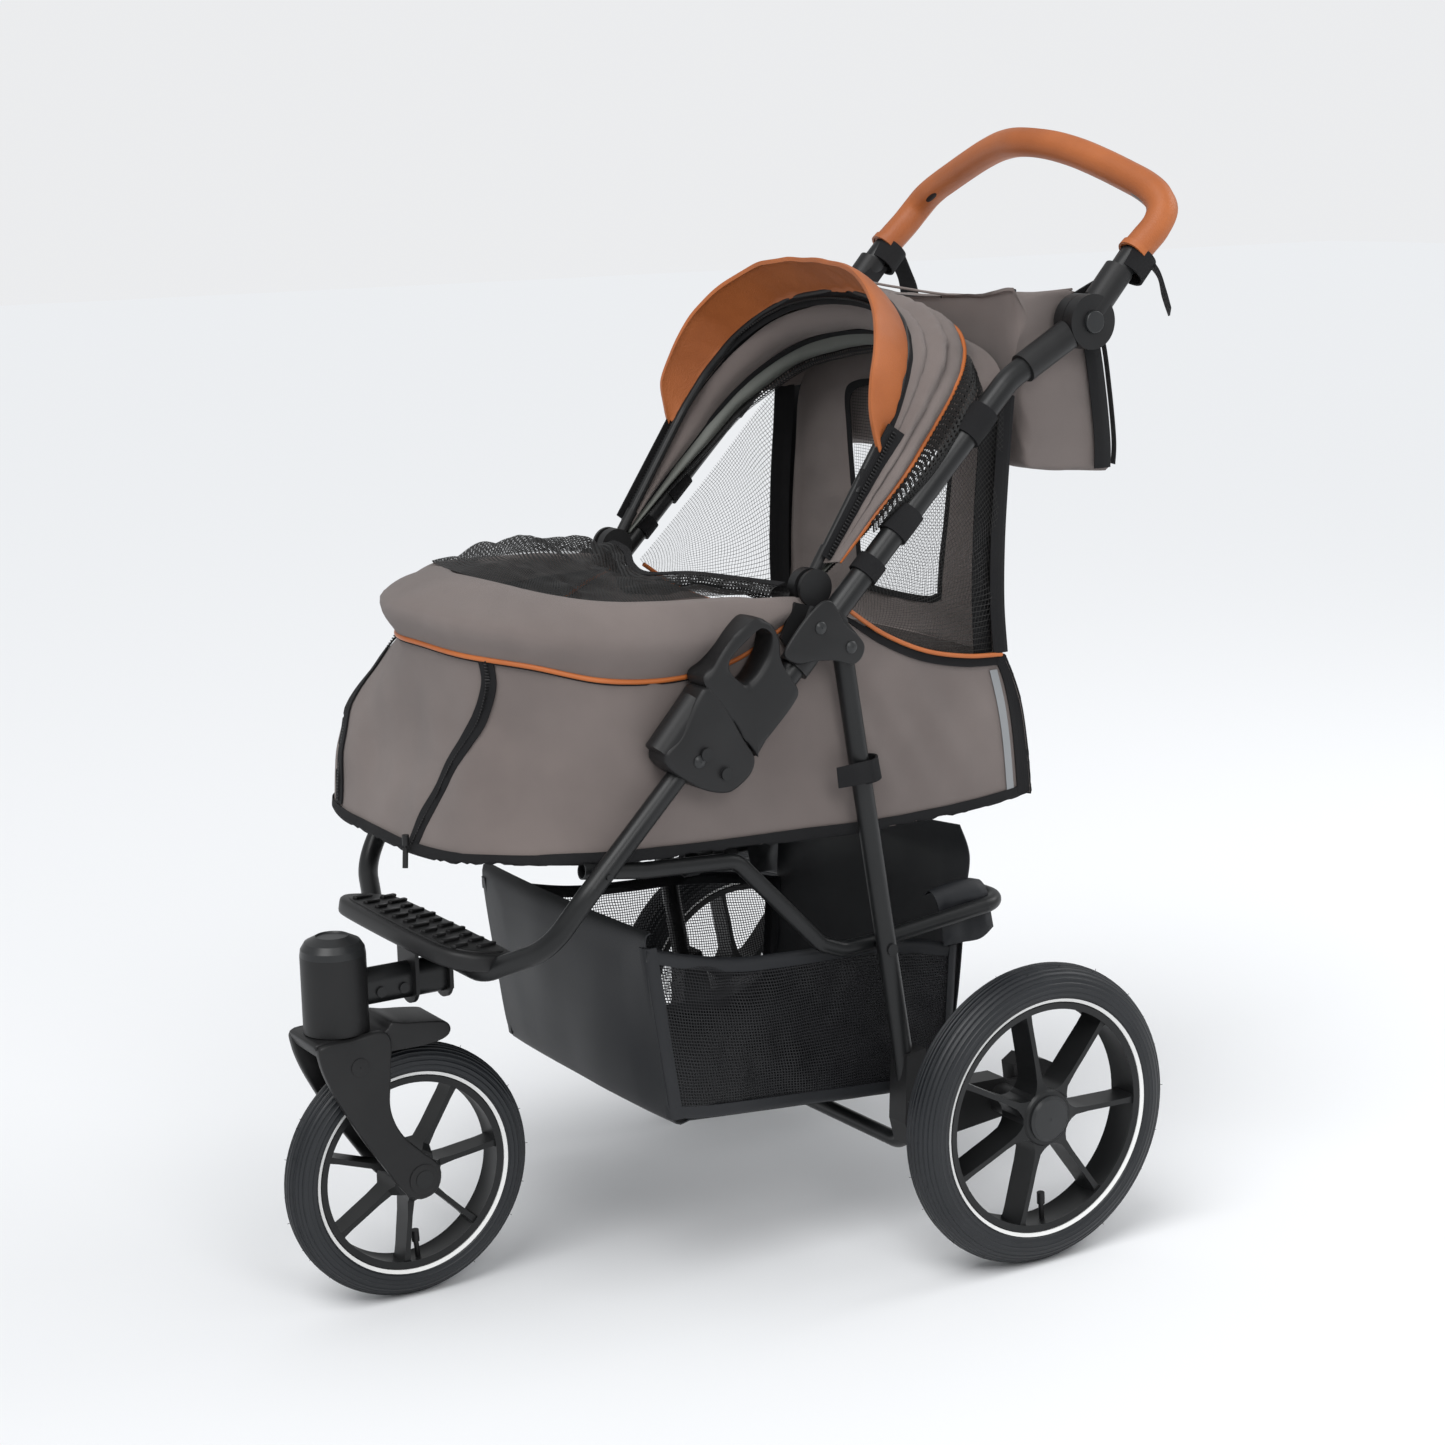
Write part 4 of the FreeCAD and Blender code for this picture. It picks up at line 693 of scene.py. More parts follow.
# ------------------------------------------------------------------ cabin tub
LOWER_EDGE = [(188, 62, 453), (190, 30, 449), (190, -33, 444), (190, -130, 442), (190, -211, 445),
              (190, -323, 449), (191, -415, 454), (178, -480, 459), (152, -522, 461), (112, -546, 458),
              (49, -555, 456), (0, -557, 457), (-49, -557, 458), (-104, -556, 460), (-152, -542, 463),
              (-180, -500, 460), (-191, -432, 455), (-190, -323, 449), (-190, -211, 445),
              (-190, -130, 442), (-190, -33, 444), (-190, 30, 449), (-188, 62, 453)]
MIDDLE_EDGE = [(190, 50, 540), (192, 24, 530), (193, -36, 526), (194, -122, 540), (194, -205, 556),
               (191, -320, 540), (186, -404, 541), (172, -448, 548), (148, -478, 556), (110, -508, 562),
               (48, -522, 566), (0, -530, 566), (-48, -538, 565), (-102, -541, 562), (-148, -520, 556),
               (-176, -468, 548), (-188, -406, 541), (-191, -320, 540), (-194, -205, 556),
               (-194, -122, 540), (-193, -36, 526), (-192, 24, 530), (-190, 50, 540)]
UPPER_EDGE = [(188, 30, 596), (188, 4, 599), (188, -44, 605), (188, -118, 634), (188, -196, 664),
              (188, -318, 622), (187, -400, 622), (178, -440, 630), (156, -472, 640), (104, -512, 646),
              (46, -528, 650), (0, -530, 652), (-46, -512, 650), (-98, -480, 648), (-140, -450, 643),
              (-170, -421, 634), (-186, -388, 626), (-188, -318, 622), (-188, -196, 664),
              (-188, -118, 634), (-188, -44, 605), (-188, 4, 599), (-188, 30, 596)]
REAR_LOW = [(-120, 67, 453), (0, 69, 452), (120, 67, 453)]
REAR_MID = [(-120, 57, 540), (0, 60, 540), (120, 57, 540)]
REAR_TOP = [(-120, 36, 597), (0, 40, 597), (120, 36, 597)]


def around(*rows):
    """Columns round the tub from its edge lines, closed across the rear."""
    return [list(stack) for stack in zip(*rows)]


# depth of the tub's soft hollows and of its small creases, in metres
FOLD_DEPTH, CREASE_DEPTH = 0.016, 0.0065


def tub_folds(u, v, spot):
    """Soft pulls in the tub wall: hollows that run down from the collar."""
    fold = noise.noise(Vector((spot.x * 8 - spot.z * 4, spot.y * 8 + spot.z * 7, 3.1)))
    fine = noise.noise(Vector((spot.x * 26, spot.y * 26 + spot.z * 16, 7.7)))
    strength = math.sin(math.pi * v) ** 0.7
    side = Vector((spot.x, (spot.y - AXLE_Y + 0.25) * 0.6, 0)).normalized()
    rear = min(1, max(0, (AXLE_Y + 0.035 - spot.y) * 14))
    return side * strength * rear * (FOLD_DEPTH * fold + CREASE_DEPTH * fine)


tub = cloth("tub_wall_cloth", around(LOWER_EDGE + REAR_LOW + LOWER_EDGE[:1],
                                     MIDDLE_EDGE + REAR_MID + MIDDLE_EDGE[:1],
                                     UPPER_EDGE + REAR_TOP + UPPER_EDGE[:1]),
            260, 26, 1.6, TAUPE, "front_frame", "taupe", tub_folds, closed=True)
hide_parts("cabin_tub")


def offset_edge(edge, out, rise):
    """An edge line moved outwards from the middle of the tub and up."""
    moved = []
    for x, y, z in edge:
        away = Vector((x, (y + 250) * 0.55, 0)).normalized()
        moved.append((x + away.x * out, y + away.y * out, z + rise))
    return moved


LOOP = LOWER_EDGE + REAR_LOW + LOWER_EDGE[:1]
cloth("tub_bottom_binding", around(offset_edge(LOOP, -3, -1.5), offset_edge(LOOP, 1.6, -2.0),
                                   offset_edge(LOOP, 2.4, 4), offset_edge(LOOP, 1.9, 10)),
      260, 6, 1.0, BLACK_CLOTH, "front_frame", "black_fabric", closed=True, hug=(tub, BINDING_LIFT))
under = [[(x * s, -250 + (y + 250) * s, z + 3) for s in (0.99, 0.6, 0.2)] for x, y, z in LOOP]
cloth("tub_underside", under, 120, 4, 0.8, BASKET_CLOTH, "front_frame", "black_fabric", closed=True)

# collar: rolled band round the front of the opening
COLLAR = [
    ((188, -197, 665), (196, -199, 671), (189, -206, 678), (181, -212, 668)),
    ((188, -229, 652), (200, -230, 666), (190, -238, 681), (180, -242, 664)),
    ((188, -274, 630), (203, -273, 655), (190, -277, 685), (178, -278, 664)),
    ((188, -318, 620), (205, -317, 652), (189, -319, 687), (176, -318, 662)),
    ((188, -366, 618), (204, -367, 653), (185, -361, 689), (172, -358, 664)),
    ((185, -424, 625), (196, -430, 660), (166, -412, 692), (154, -404, 668)),
    ((155, -476, 639), (164, -488, 672), (134, -444, 697), (124, -432, 673)),
    ((98, -516, 646), (102, -526, 680), (82, -466, 703), (76, -450, 680)),
    ((40, -530, 651), (42, -542, 686), (38, -480, 707), (36, -462, 684)),
    ((0, -532, 652), (0, -543, 686), (0, -480, 706), (0, -462, 684)),
]
COLLAR += [
    ((-46, -514, 650), (-46, -526, 684), (-44, -466, 704), (-42, -448, 682)),
    ((-98, -482, 648), (-100, -492, 680), (-88, -448, 700), (-82, -432, 678)),
    ((-140, -450, 643), (-146, -458, 674), (-128, -428, 697), (-120, -416, 674)),
    ((-170, -421, 634), (-178, -424, 664), (-158, -404, 693), (-148, -396, 670)),
]
COLLAR += [tuple((-x, y, z) for x, y, z in stack) for stack in (COLLAR[4], COLLAR[3], COLLAR[2], COLLAR[1],
                                                              COLLAR[0])]


def collar_folds(u, v, spot):
    """Shallow dents along the rolled collar."""
    dent = noise.noise(Vector((spot.x * 16, spot.y * 16, spot.z * 5)))
    fine = noise.noise(Vector((spot.x * 45, spot.y * 45, spot.z * 12)))
    side = Vector((spot.x, (spot.y - AXLE_Y + 0.25) * 0.7, 0.05)).normalized()
    return side * (0.005 * dent + 0.0016 * fine) * math.sin(math.pi * min(1, v * 1.1)) ** 0.6


collar = cloth("collar_roll", COLLAR, 220, 22, 2.4, TAUPE, "front_frame", "taupe", collar_folds)
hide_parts("cabin_collar")
collar_line = [offset_edge([stack[0]], 1.5, -1)[0] for stack in COLLAR]
cord_line("collar_piping", [(191, -203, 677)] + collar_line + [(-191, -203, 677)], 2.5, PIPING, "front_frame",
          count=240)
cloth("collar_piping_tape", [offset_edge([stack[0]], 0.8, 3.5) + offset_edge([stack[0]], 0.6, -5)
                             for stack in COLLAR], 220, 1, 1.0, BLACK_CLOTH, "front_frame", "black_fabric")

# net cover bunched over the front of the opening
def net_heaps(u, v, spot):
    """Heaped folds of the loose net."""
    fold = noise.noise(Vector((spot.x * 10 + spot.y * 20, spot.y * 30, 1.7)))
    fine = noise.noise(Vector((spot.x * 40 + spot.y * 30, spot.y * 70, 4.2)))
    edge = min(1, 5 * u, 5 * (1 - u), 5 * v + 0.1)
    return Vector((0.003 * fine, 0.005 * fold, 0.010 * fold + 0.003 * fine)) * edge


NET_COVER = [
    [(-176, -405, 682), (-180, -330, 690), (-182, -270, 688), (-183, -222, 682)],
    [(-128, -436, 700), (-130, -350, 712), (-130, -280, 708), (-132, -214, 684)],
    [(-60, -458, 704), (-60, -370, 716), (-60, -300, 705), (-60, -236, 672)],
    [(0, -466, 704), (0, -390, 712), (0, -320, 700), (0, -266, 668)],
    [(60, -460, 700), (60, -380, 704), (60, -320, 697), (60, -282, 676)],
    [(128, -440, 690), (128, -360, 694), (130, -300, 692), (132, -258, 682)],
    [(172, -405, 683), (177, -330, 688), (180, -270, 686), (182, -220, 684)],
]
net_cover = cloth("net_cover_cloth", NET_COVER, 150, 110, 0, COVER_NET, "front_frame", "black_fabric", net_heaps)
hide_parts("mesh_cover")
roll_columns = []
for k in range(9):
    turn = 2 * math.pi * k / 8
    roll_columns.append([(x, y + 11 * math.cos(turn), z + 8 * math.sin(turn)) for x, y, z in (
        (184, -226, 683), (150, -256, 688), (96, -284, 690), (30, -292, 684), (-40, -268, 682),
        (-110, -232, 686), (-160, -218, 688), (-184, -214, 682))])
net_roll = cloth("net_cover_roll", roll_columns, 40, 150, 0, COVER_NET, "front_frame", "black_fabric", net_heaps,
                 closed=True)
net_hem = cloth("net_cover_hem", [[(x, y - 4, z + 7), (x, y + 4, z + 9)] for x, y, z in (
    (184, -224, 684), (150, -246, 687), (96, -272, 689), (30, -282, 682), (-40, -258, 680),
    (-110, -224, 684), (-160, -212, 686), (-184, -208, 682))], 120, 2, 1.2, BLACK_CLOTH, "front_frame",
      "black_fabric")

# front door: a panel between two zips
NEAR_ZIP = [(120, -505, 641), (118, -500, 622), (108, -504, 590), (92, -512, 556), (72, -528, 516), (55, -548, 474),
            (49, -557, 460)]
FAR_ZIP = [(-112, -472, 645), (-112, -500, 610), (-112, -532, 570), (-113, -545, 530), (-114, -552, 495),
           (-114, -556, 472)]


def zip_run(name, line, body, way, wide=8.0, slot="black_fabric", target=None):
    """Zip tape with coil teeth along a line; way points outwards."""
    out = Vector(way)
    spots = through([mm(*p) for p in line], 60)
    if target:
        spots = [target.closest_point_on_mesh(spot)[1] for spot in spots]
    left, right, ridge = [], [], []
    for k, spot in enumerate(spots[::6]):
        at = min(k * 6, 59)
        ahead = (spots[at + 1] - spots[at]).normalized()
        side = ahead.cross(out).normalized() * wide
        here = Vector((spot.x * 1000, (spot.y - AXLE_Y) * 1000, spot.z * 1000)) + out * 2.2
        left.append(tuple(here + side))
        right.append(tuple(here - side))
        ridge.append(tuple(here + out * 1.2))
    cloth(name + "_tape", [[a, b] for a, b in zip(left, right)], 80, 4, 1.6, BLACK_CLOTH, body, slot,
          hug=(target, TRIM_LIFT) if target else None)
    teeth_along(name + "_teeth", ridge, 3.0, (1.7, 5.0, 1.6), PLASTIC, body)


def teeth_along(name, line, pitch, size, material, body):
    """Small blocks spaced along a line, such as zip teeth or stitches."""
    spots = through([mm(*p) for p in line], 200)
    length = sum((b - a).length for a, b in zip(spots, spots[1:])) * 1000
    bpy.ops.curve.primitive_nurbs_path_add()
    path = bpy.context.object
    path.data.splines.clear()
    spline = path.data.splines.new("POLY")
    spline.points.add(len(spots) - 1)
    for point, spot in zip(spline.points, spots):
        point.co = (*spot, 1)
    path.data.dimensions = "3D"
    path.data.twist_mode = "Z_UP"
    bpy.ops.mesh.primitive_cube_add(size=1)
    row = bpy.context.object
    row.name = name
    row.scale = [value / 1000 for value in size]
    bpy.ops.object.transform_apply(location=False, rotation=False, scale=True)
    apply_modifier(row, "BEVEL", width=min(size) / 4000, segments=1)
    apply_modifier(row, "ARRAY", count=max(2, int(length / pitch)), use_relative_offset=False,
                   use_constant_offset=True, constant_offset_displace=(pitch / 1000, 0, 0))
    apply_modifier(row, "CURVE", object=path, deform_axis="POS_X")
    bpy.data.objects.remove(path)
    return settle(row, material, body, 30)


zip_run("near_door_zip", NEAR_ZIP, "front_frame", (0.35, -0.93, 0.1), target=tub)
zip_run("far_door_zip", FAR_ZIP, "front_frame", (-0.3, -0.95, 0.1), target=tub)


def puller(name, top, drop, body):
    """A zip slider with a cord pull and a moulded end."""
    x, y, z = top
    a, b, c = drop
    slider = cord_line("slider", [(x, y, z + 5), (x, y, z - 5)], 3.4, STEEL, body, count=3, rest=False)
    loop = cord_line("loop", [(x, y, z - 3), (x + a * 0.3, y + b * 0.3, z + c * 0.3)], 1.3, STEEL, body, count=3,
                     rest=False)
    end = cord_line("end", [(x + a * 0.3, y + b * 0.3, z + c * 0.3), (x + a, y + b, z + c)], 2.8, PLASTIC, body,
                    count=4, rest=False)
    return settle(join([slider, loop, end], name), PLASTIC, body)


puller("near_door_zip_pull", (50, -561, 468), (3, -3, -26), "front_frame")

# ------------------------------------------------------------------ cabin sides, back and cap
def bend_at_fold(piece, material):
    """Cloth sewn to the tub below and to the upper tubes above: give it its finish and bake its place into its mesh."""
    piece.data.materials.clear()
    piece.data.materials.append(material)
    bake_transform(piece)


TUBE_RUN = [(-158, 668), (-118, 705), (-70, 752), (-20, 803), (28, 851)]
WINDOW_LOW = [(-156, 661), (-115, 633), (-66, 611), (-16, 600), (27, 597)]
# the rear corner, from the tub's foot to the seam and from there to the hood
REAR_EDGE_LOW = [(62, 454), (54, 520), (44, 572), (31, 600)]
REAR_EDGE_HIGH = [(31, 600), (27, 650), (28, 712), (33, 780), (38, 832), (40, 852)]
for side, sign in (("left", 1), ("right", -1)):
    panel = []
    for (y, top), (yb, low) in zip(TUBE_RUN, WINDOW_LOW):
        panel.append([(sign * 189, yb, low), (sign * 194, (y + yb) / 2, (low + top) / 2), (sign * 197, y, top)])
    net = cloth("side_window_net_" + side, panel, 70, 70, 0, WINDOW_NET, "upper_frame", "black_fabric",
                crumple(13, 16, 3 * sign), rest=False)
    bend_at_fold(net, WINDOW_NET)
    cloth("side_window_lower_band_" + side,
          [[(sign * 193, y, z - 10), (sign * 194.5, y, z - 1)] for y, z in WINDOW_LOW],
          60, 2, 1.4, BLACK_CLOTH, "front_frame", "black_fabric", hug=(tub, TRIM_LIFT))
    cord_line("side_window_piping_" + side, [(sign * 193.5, y, z + 1) for y, z in WINDOW_LOW], 2.3, PIPING,
              "front_frame")
    for part, points, body in (("lower", REAR_EDGE_LOW, "front_frame"), ("upper", REAR_EDGE_HIGH, "upper_frame")):
        edging = cloth("rear_corner_binding_%s_%s" % (part, side),
                       [[(sign * 193.5, y - 14, z), (sign * 195.0, y - 4, z),
                         (sign * 193, y + 3.5, z), (sign * 178, y + 6, z)] for y, z in points],
                       50, 8, 1.2, BLACK_CLOTH, body, "black_fabric",
                       hug=(tub, EDGING_LIFT) if part == "lower" else None, rest=part == "lower")
        if part == "upper":
            bend_at_fold(edging, BLACK_CLOTH)
    cloth("reflective_strip_" + side,
          [[(sign * 194.5, y - 24, z), (sign * 195, y - 15, z)]
           for y, z in ((58, 458), (53, 500), (46, 548), (38, 583))],
          40, 2, 0.6, SILVER, "front_frame", "grey_plastic", hug=(tub, TRIM_LIFT))

for side, sign in (("left", 1), ("right", -1)):
    strap = cloth("inner_corner_strap_" + side,
                  [[(sign * 184, y - 24, z), (sign * 184.5, y - 10, z), (sign * 182, y - 1, z)]
                   for y, z in ((24, 600), (22, 660), (25, 740), (30, 800), (33, 842))],
                  50, 6, 1.6, BLACK_CLOTH, "upper_frame", "black_fabric", rest=False)
    bend_at_fold(strap, BLACK_CLOTH)

# back panel: a cloth frame round a net window
BACK_OUTER = [(188, 30, 597), (187, 28, 650), (186, 30, 712), (184, 35, 780), (182, 40, 836), (160, 47, 872),
              (112, 54, 893), (56, 60, 905), (0, 62, 908)]
BACK_INNER = [(70, 42, 640), (74, 42, 676), (80, 43, 712), (87, 44, 760), (94, 46, 800), (98, 48, 836),
              (80, 50, 848), (40, 52, 852), (0, 53, 853)]
outer_loop = whole(BACK_OUTER) + [(-120, 36, 596), (0, 42, 596), (120, 36, 596), BACK_OUTER[0]]
inner_loop = whole(BACK_INNER) + [(-50, 43, 634), (0, 45, 632), (50, 43, 634), BACK_INNER[0]]
back = cloth("cabin_back_cloth", [[a, tuple((p + q) / 2 + (0, 2, 0)[k] for k, (p, q) in enumerate(zip(a, b))), b]
                                  for a, b in zip(outer_loop, inner_loop)], 170, 14, 1.6, TAUPE, "upper_frame",
             "taupe", crumple(5, 13, 5, Vector((0, 1, 0))), closed=True, rest=False)
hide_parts("cabin_back")
bend_at_fold(back, TAUPE)
back_net = cloth("cabin_back_net", [[(x, 42, 634 if abs(x) < 60 else 640), (x * 1.15, 45, 740),
                                     (x * 1.3, 49, 850 - abs(x) * 0.05)]
                         for x in (-74, -37, 0, 37, 74)], 60, 70, 0, WINDOW_NET, "upper_frame", "black_fabric",
      crumple(6, 15, 9, Vector((0, 1, 0))), rest=False)
back_binding = cloth("cabin_back_window_binding", [[(x * 1.06, y - 1.4, z + (z - 740) * 0.03),
                                                    (x * 0.97, y - 1.4, z - (z - 740) * 0.03)]
                                    for x, y, z in inner_loop], 160, 2, 1.4, BLACK_CLOTH, "upper_frame",
      "black_fabric", closed=True, rest=False)
bend_at_fold(back_net, WINDOW_NET)
bend_at_fold(back_binding, BLACK_CLOTH)

cap_stations = [(184, 228, (184, 41, 842)), (168, 268, (164, 48, 874)), (141, 300, (138, 53, 889)),
                (104, 322, (104, 58, 898)), (48, 335, (50, 62, 908)), (0, 338, (0, 64, 910))]
cap_columns = []
for x, reach, rear in cap_stations:
    seam = on_arch(x, reach, SEAM_ANGLE)
    cap_columns.append([seam, on_arch(x + 4 * (x > 20), reach + 1, SEAM_ANGLE - 3.5), rear])
cap_columns += [[(-p[0], p[1], p[2]) for p in column] for column in reversed(cap_columns[:-1])]
cloth("canopy_rear_cap", cap_columns, 150, 14, 2.0, TAUPE, "upper_frame", "taupe",
      crumple(3, 20, 2, Vector((0, 0.3, 1))))

# gathered net over the upper tubes beside the piping
for side, sign in (("left", 1), ("right", -1)):
    strip = []
    for x, reach, wide in ((203, 80, 8), (203, 120, 16), (199, 160, 23), (191, 200, 27), (184, 228, 28),
                           (172, 262, 24), (150, 290, 12)):
        strip.append([on_arch(sign * x, reach, SEAM_ANGLE),
                      on_arch(sign * (x + wide * 0.55), reach + 2, SEAM_ANGLE - 0.6),
                      on_arch(sign * (x + wide), reach - 3, SEAM_ANGLE - 2.2),
                      on_arch(sign * (x + wide - 2), reach - 4, SEAM_ANGLE - 5.5)])

    def gathers(u, v, spot):
        """Close pleats across the strip."""
        return Vector((0.3, 0.2, 1)) * 0.0022 * math.sin(u * 210) * math.sin(math.pi * min(1, v + 0.1))

    cloth("tube_net_strip_" + side, strip, 220, 16, 0, COVER_NET, "upper_frame", "black_fabric", gathers)

# ------------------------------------------------------------------ canopy

def hood_columns(near_out, far_out, lift_mid, first=0.0, last=1.0, near_angle=ZIP_ANGLE, far_angle=SEAM_ANGLE):
    """Columns from the seam to the zip, bulging out between them."""
    seam = arch_line(SEAM_ARCH, far_angle, far_out, 0, first, last, 40)
    front = arch_line(ZIP_ARCH, near_angle, near_out, 0, first, last, 40)
    columns = []
    for a, b in zip(seam, front):
        middle = [(p + q) / 2 for p, q in zip(a, b)]
        away = Vector((middle[0] * 0.55, middle[1] - PIVOT_Y, middle[2] - PIVOT_Z)).normalized() * lift_mid
        columns.append([a, tuple(p + q for p, q in zip(middle, away)), b])
    return columns


def hood_rolls(u, v, spot):
    """Long rolls that run round the arch, with shallow cross creases."""
    away = Vector((spot.x * 0.6, spot.y - AXLE_Y - PIVOT_Y / 1000, spot.z - PIVOT_Z / 1000)).normalized()
    wander = 0.5 * noise.noise(spot * 7)
    rolls = abs(math.sin(math.pi * (2.6 * v + wander)))
    cross = noise.noise(Vector((u * 60, v * 3, 0)))
    ends = min(1, 9 * u + 0.1, 9 * (1 - u) + 0.1)
    return away * ends * math.sin(math.pi * v) ** 0.5 * (0.010 * rolls + 0.0025 * cross - 0.004)


hood = cloth("hood_cloth", hood_columns(2, 2, 8), 260, 40, 1.6, TAUPE, "canopy", "taupe", hood_rolls, rest=False)

hood.data.materials.clear()
hood.data.materials.append(TAUPE)
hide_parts("canopy_hood")
hood_pieces = [hood]


def inner_band(name, start, stop, material, slot, sag=0.0, ripple=None, thick=1.2):
    """One band of the hood's inner face, between two shares of the way from zip to seam."""
    front = arch_line(ZIP_ARCH, ZIP_ANGLE, -4, -2, 0.02, 0.98, 40)
    rear = []
    for spot in arch_line(SEAM_ARCH, SEAM_ANGLE, 0, 0, 0.02, 0.98, 40):
        reach = math.hypot(spot[1] - PIVOT_Y, spot[2] - PIVOT_Z)
        rear.append(on_arch(spot[0] * 0.93, max(10, reach - 30), SEAM_ANGLE - 3 - 7 * max(0, 1 - reach / 230)))
    columns = []
    for a, b in zip(front, rear):
        column = []
        for step in range(4):
            share = start + (stop - start) * step / 3
            spot = [p + (q - p) * share for p, q in zip(a, b)]
            away = Vector((spot[0] * 0.55, spot[1] - PIVOT_Y, spot[2] - PIVOT_Z)).normalized()
            column.append(tuple(Vector(spot) - away * (sag + 3 * math.sin(math.pi * share))))
        columns.append(column)
    piece = cloth(name, columns, 220, 10, thick, material, "canopy", slot, ripple, rest=False)
    piece.data.materials.clear()
    piece.data.materials.append(material)
    hood_pieces.append(piece)


def lining_rolls(u, v, spot):
    """Loose waves in the inner cloth."""
    away = Vector((spot.x * 0.6, spot.y - AXLE_Y - PIVOT_Y / 1000, spot.z - PIVOT_Z / 1000)).normalized()
    return away * (0.005 * noise.noise(spot * 20) - 0.009 * math.sin(math.pi * v))


inner_band("hood_inner_roll", 0.0, 0.56, TAUPE, "taupe", 0, lining_rolls, 1.6)
inner_band("hood_inner_binding", 0.55, 0.64, BLACK_CLOTH, "black_fabric", 1)
inner_band("hood_lining", 0.63, 0.95, LINING, "taupe", 0, lining_rolls)
inner_band("hood_inner_net", 0.93, 1.14, COVER_NET, "black_fabric", 0, lining_rolls, 0)
for piece in hood_pieces:
    bpy.ops.object.select_all(action="DESELECT")
    piece.select_set(True)
    bpy.context.view_layer.objects.active = piece
    bpy.ops.object.shade_smooth_by_angle(angle=math.radians(80))
    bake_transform(piece)

cord_line("hood_seam_piping", arch_line(SEAM_ARCH, SEAM_ANGLE, 3, 0, 0, 1, 30), 2.6, PIPING,
          "upper_frame", count=260)

# leather brim along the front arch
VISOR = [(190, 142, 5), (189, 152, 17), (187, 172, 36), (180, 203, 46), (160, 246, 54), (130, 276, 58),
         (90, 298, 59), (40, 309, 58), (0, 311, 58)]
brim = []
for x, reach, wide in whole(VISOR):
    grow = 0.35 * wide
    stack = []
    for share, puff in ((0.0, 0), (0.12, 4), (0.5, 6), (0.88, 4.5), (1.0, 1)):
        stack.append(on_arch(x * (1 + 0.03 * share), reach + grow * share * 0.25 + puff, ZIP_ANGLE + 1,
                             3 + (wide - 3) * share))
    brim.append(stack)


def brim_creases(u, v, spot):
    """Slight puckers from the brim's stitched edges."""
    dent = noise.noise(Vector((spot.x * 26, spot.z * 26, v * 1.4)))
    return Vector((0, -0.4, 0.9)) * (0.0042 * dent + 0.0012 * math.sin(u * 150) * (1 - v))


visor = cloth("leather_brim", brim, 220, 24, 4.4, LEATHER, "canopy", "leather", brim_creases, rest=False)
apply_modifier(visor, "BEVEL", width=0.0018, segments=3, limit_method="ANGLE", angle_limit=math.radians(50))
settle(visor, LEATHER, "canopy", 60)
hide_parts("canopy_visor")
tape_out = arch_line(ZIP_ARCH, ZIP_ANGLE - 1.6, 5.5, 0, 0.02, 0.98, 40)
tape_in = arch_line(ZIP_ARCH, ZIP_ANGLE + 1.4, 1, 3.5, 0.02, 0.98, 40)
ribbon("canopy_zip_tape", tape_out, tape_in, 1.4, BLACK_CLOTH, "canopy", "black_fabric", count=240)
inner_tape = arch_line(ZIP_ARCH, ZIP_ANGLE + 0.6, -9, 0, 0.03, 0.97, 40)
ribbon("canopy_zip_inner_tape", tape_in, inner_tape, 1.4, BLACK_CLOTH, "canopy", "black_fabric", count=240)
teeth_along("canopy_zip_teeth", arch_line(ZIP_ARCH, ZIP_ANGLE + 1.2, -5, 3, 0.03, 0.97, 40), 3.4,
            (2.0, 5, 2.4), PLASTIC,
            "canopy")
for side, sign in (("left", 1), ("right", -1)):
    leg_out = [on_arch(sign * 197, reach, ZIP_ANGLE - 1, -5) for reach in (30, 80, 130, 172)]
    leg_in = [on_arch(sign * 195, reach, ZIP_ANGLE + 1, 9) for reach in (30, 80, 130, 172)]
    ribbon("canopy_zip_leg_" + side, leg_out, leg_in, 1.8, BLACK_CLOTH, "canopy", "black_fabric", count=60)
    teeth_along("canopy_zip_leg_teeth_" + side, [on_arch(sign * 198, reach, ZIP_ANGLE, 3) for reach in (34, 100, 170)],
                3.4, (2.0, 2.4, 5), PLASTIC, "canopy")
puller("canopy_zip_pull", on_arch(191, 118, ZIP_ANGLE + 2, 4), (4, -10, -16), "canopy")

# ------------------------------------------------------------------ rear bag
BAG_RING = [(48, 952), (52, 900), (56, 848), (59, 800), (62, 784), (72, 778), (110, 773), (156, 769), (166, 771),
            (169, 782),
            (162, 850), (153, 900), (138, 936), (124, 949), (86, 950)]
BAG_MIDDLE = (108, 862)
bag_columns = []
for y, z in BAG_RING + BAG_RING[:1]:
    line = []
    for x, share, sag in ((-188.5, 0.0, 0), (-188, 0.5, 0), (-187, 0.93, 0), (-181, 1.0, 0), (-120, 1.0, 3),
                          (0, 1.0, 6), (120, 1.0, 3), (181, 1.0, 0), (187, 0.93, 0), (188, 0.5, 0), (188.5, 0.0, 0)):
        front = max(0.0, (100 - y) / 60)
        dip = sag * (2.2 if z > 940 else (-0.9 if z < 790 else 0))
        line.append((x, BAG_MIDDLE[0] + (y - BAG_MIDDLE[0]) * share + front * (sag * 3.2) * share,
                     BAG_MIDDLE[1] + (z - BAG_MIDDLE[1]) * share - dip))
    bag_columns.append(line)


def bag_slump(u, v, spot):
    """Soft dents in the bag's walls."""
    dent = noise.noise(Vector((spot.x * 11, spot.y * 13, spot.z * 10)))
    fine = noise.noise(Vector((spot.x * 31, spot.y * 36, spot.z * 24)))
    away = Vector((0.12 * (spot.x > 0) - 0.06, spot.y - AXLE_Y - 0.108, spot.z - 0.862)).normalized()
    return away * (0.006 * dent + 0.002 * fine) * min(1, max(0, (0.187 - abs(spot.x)) * 30))


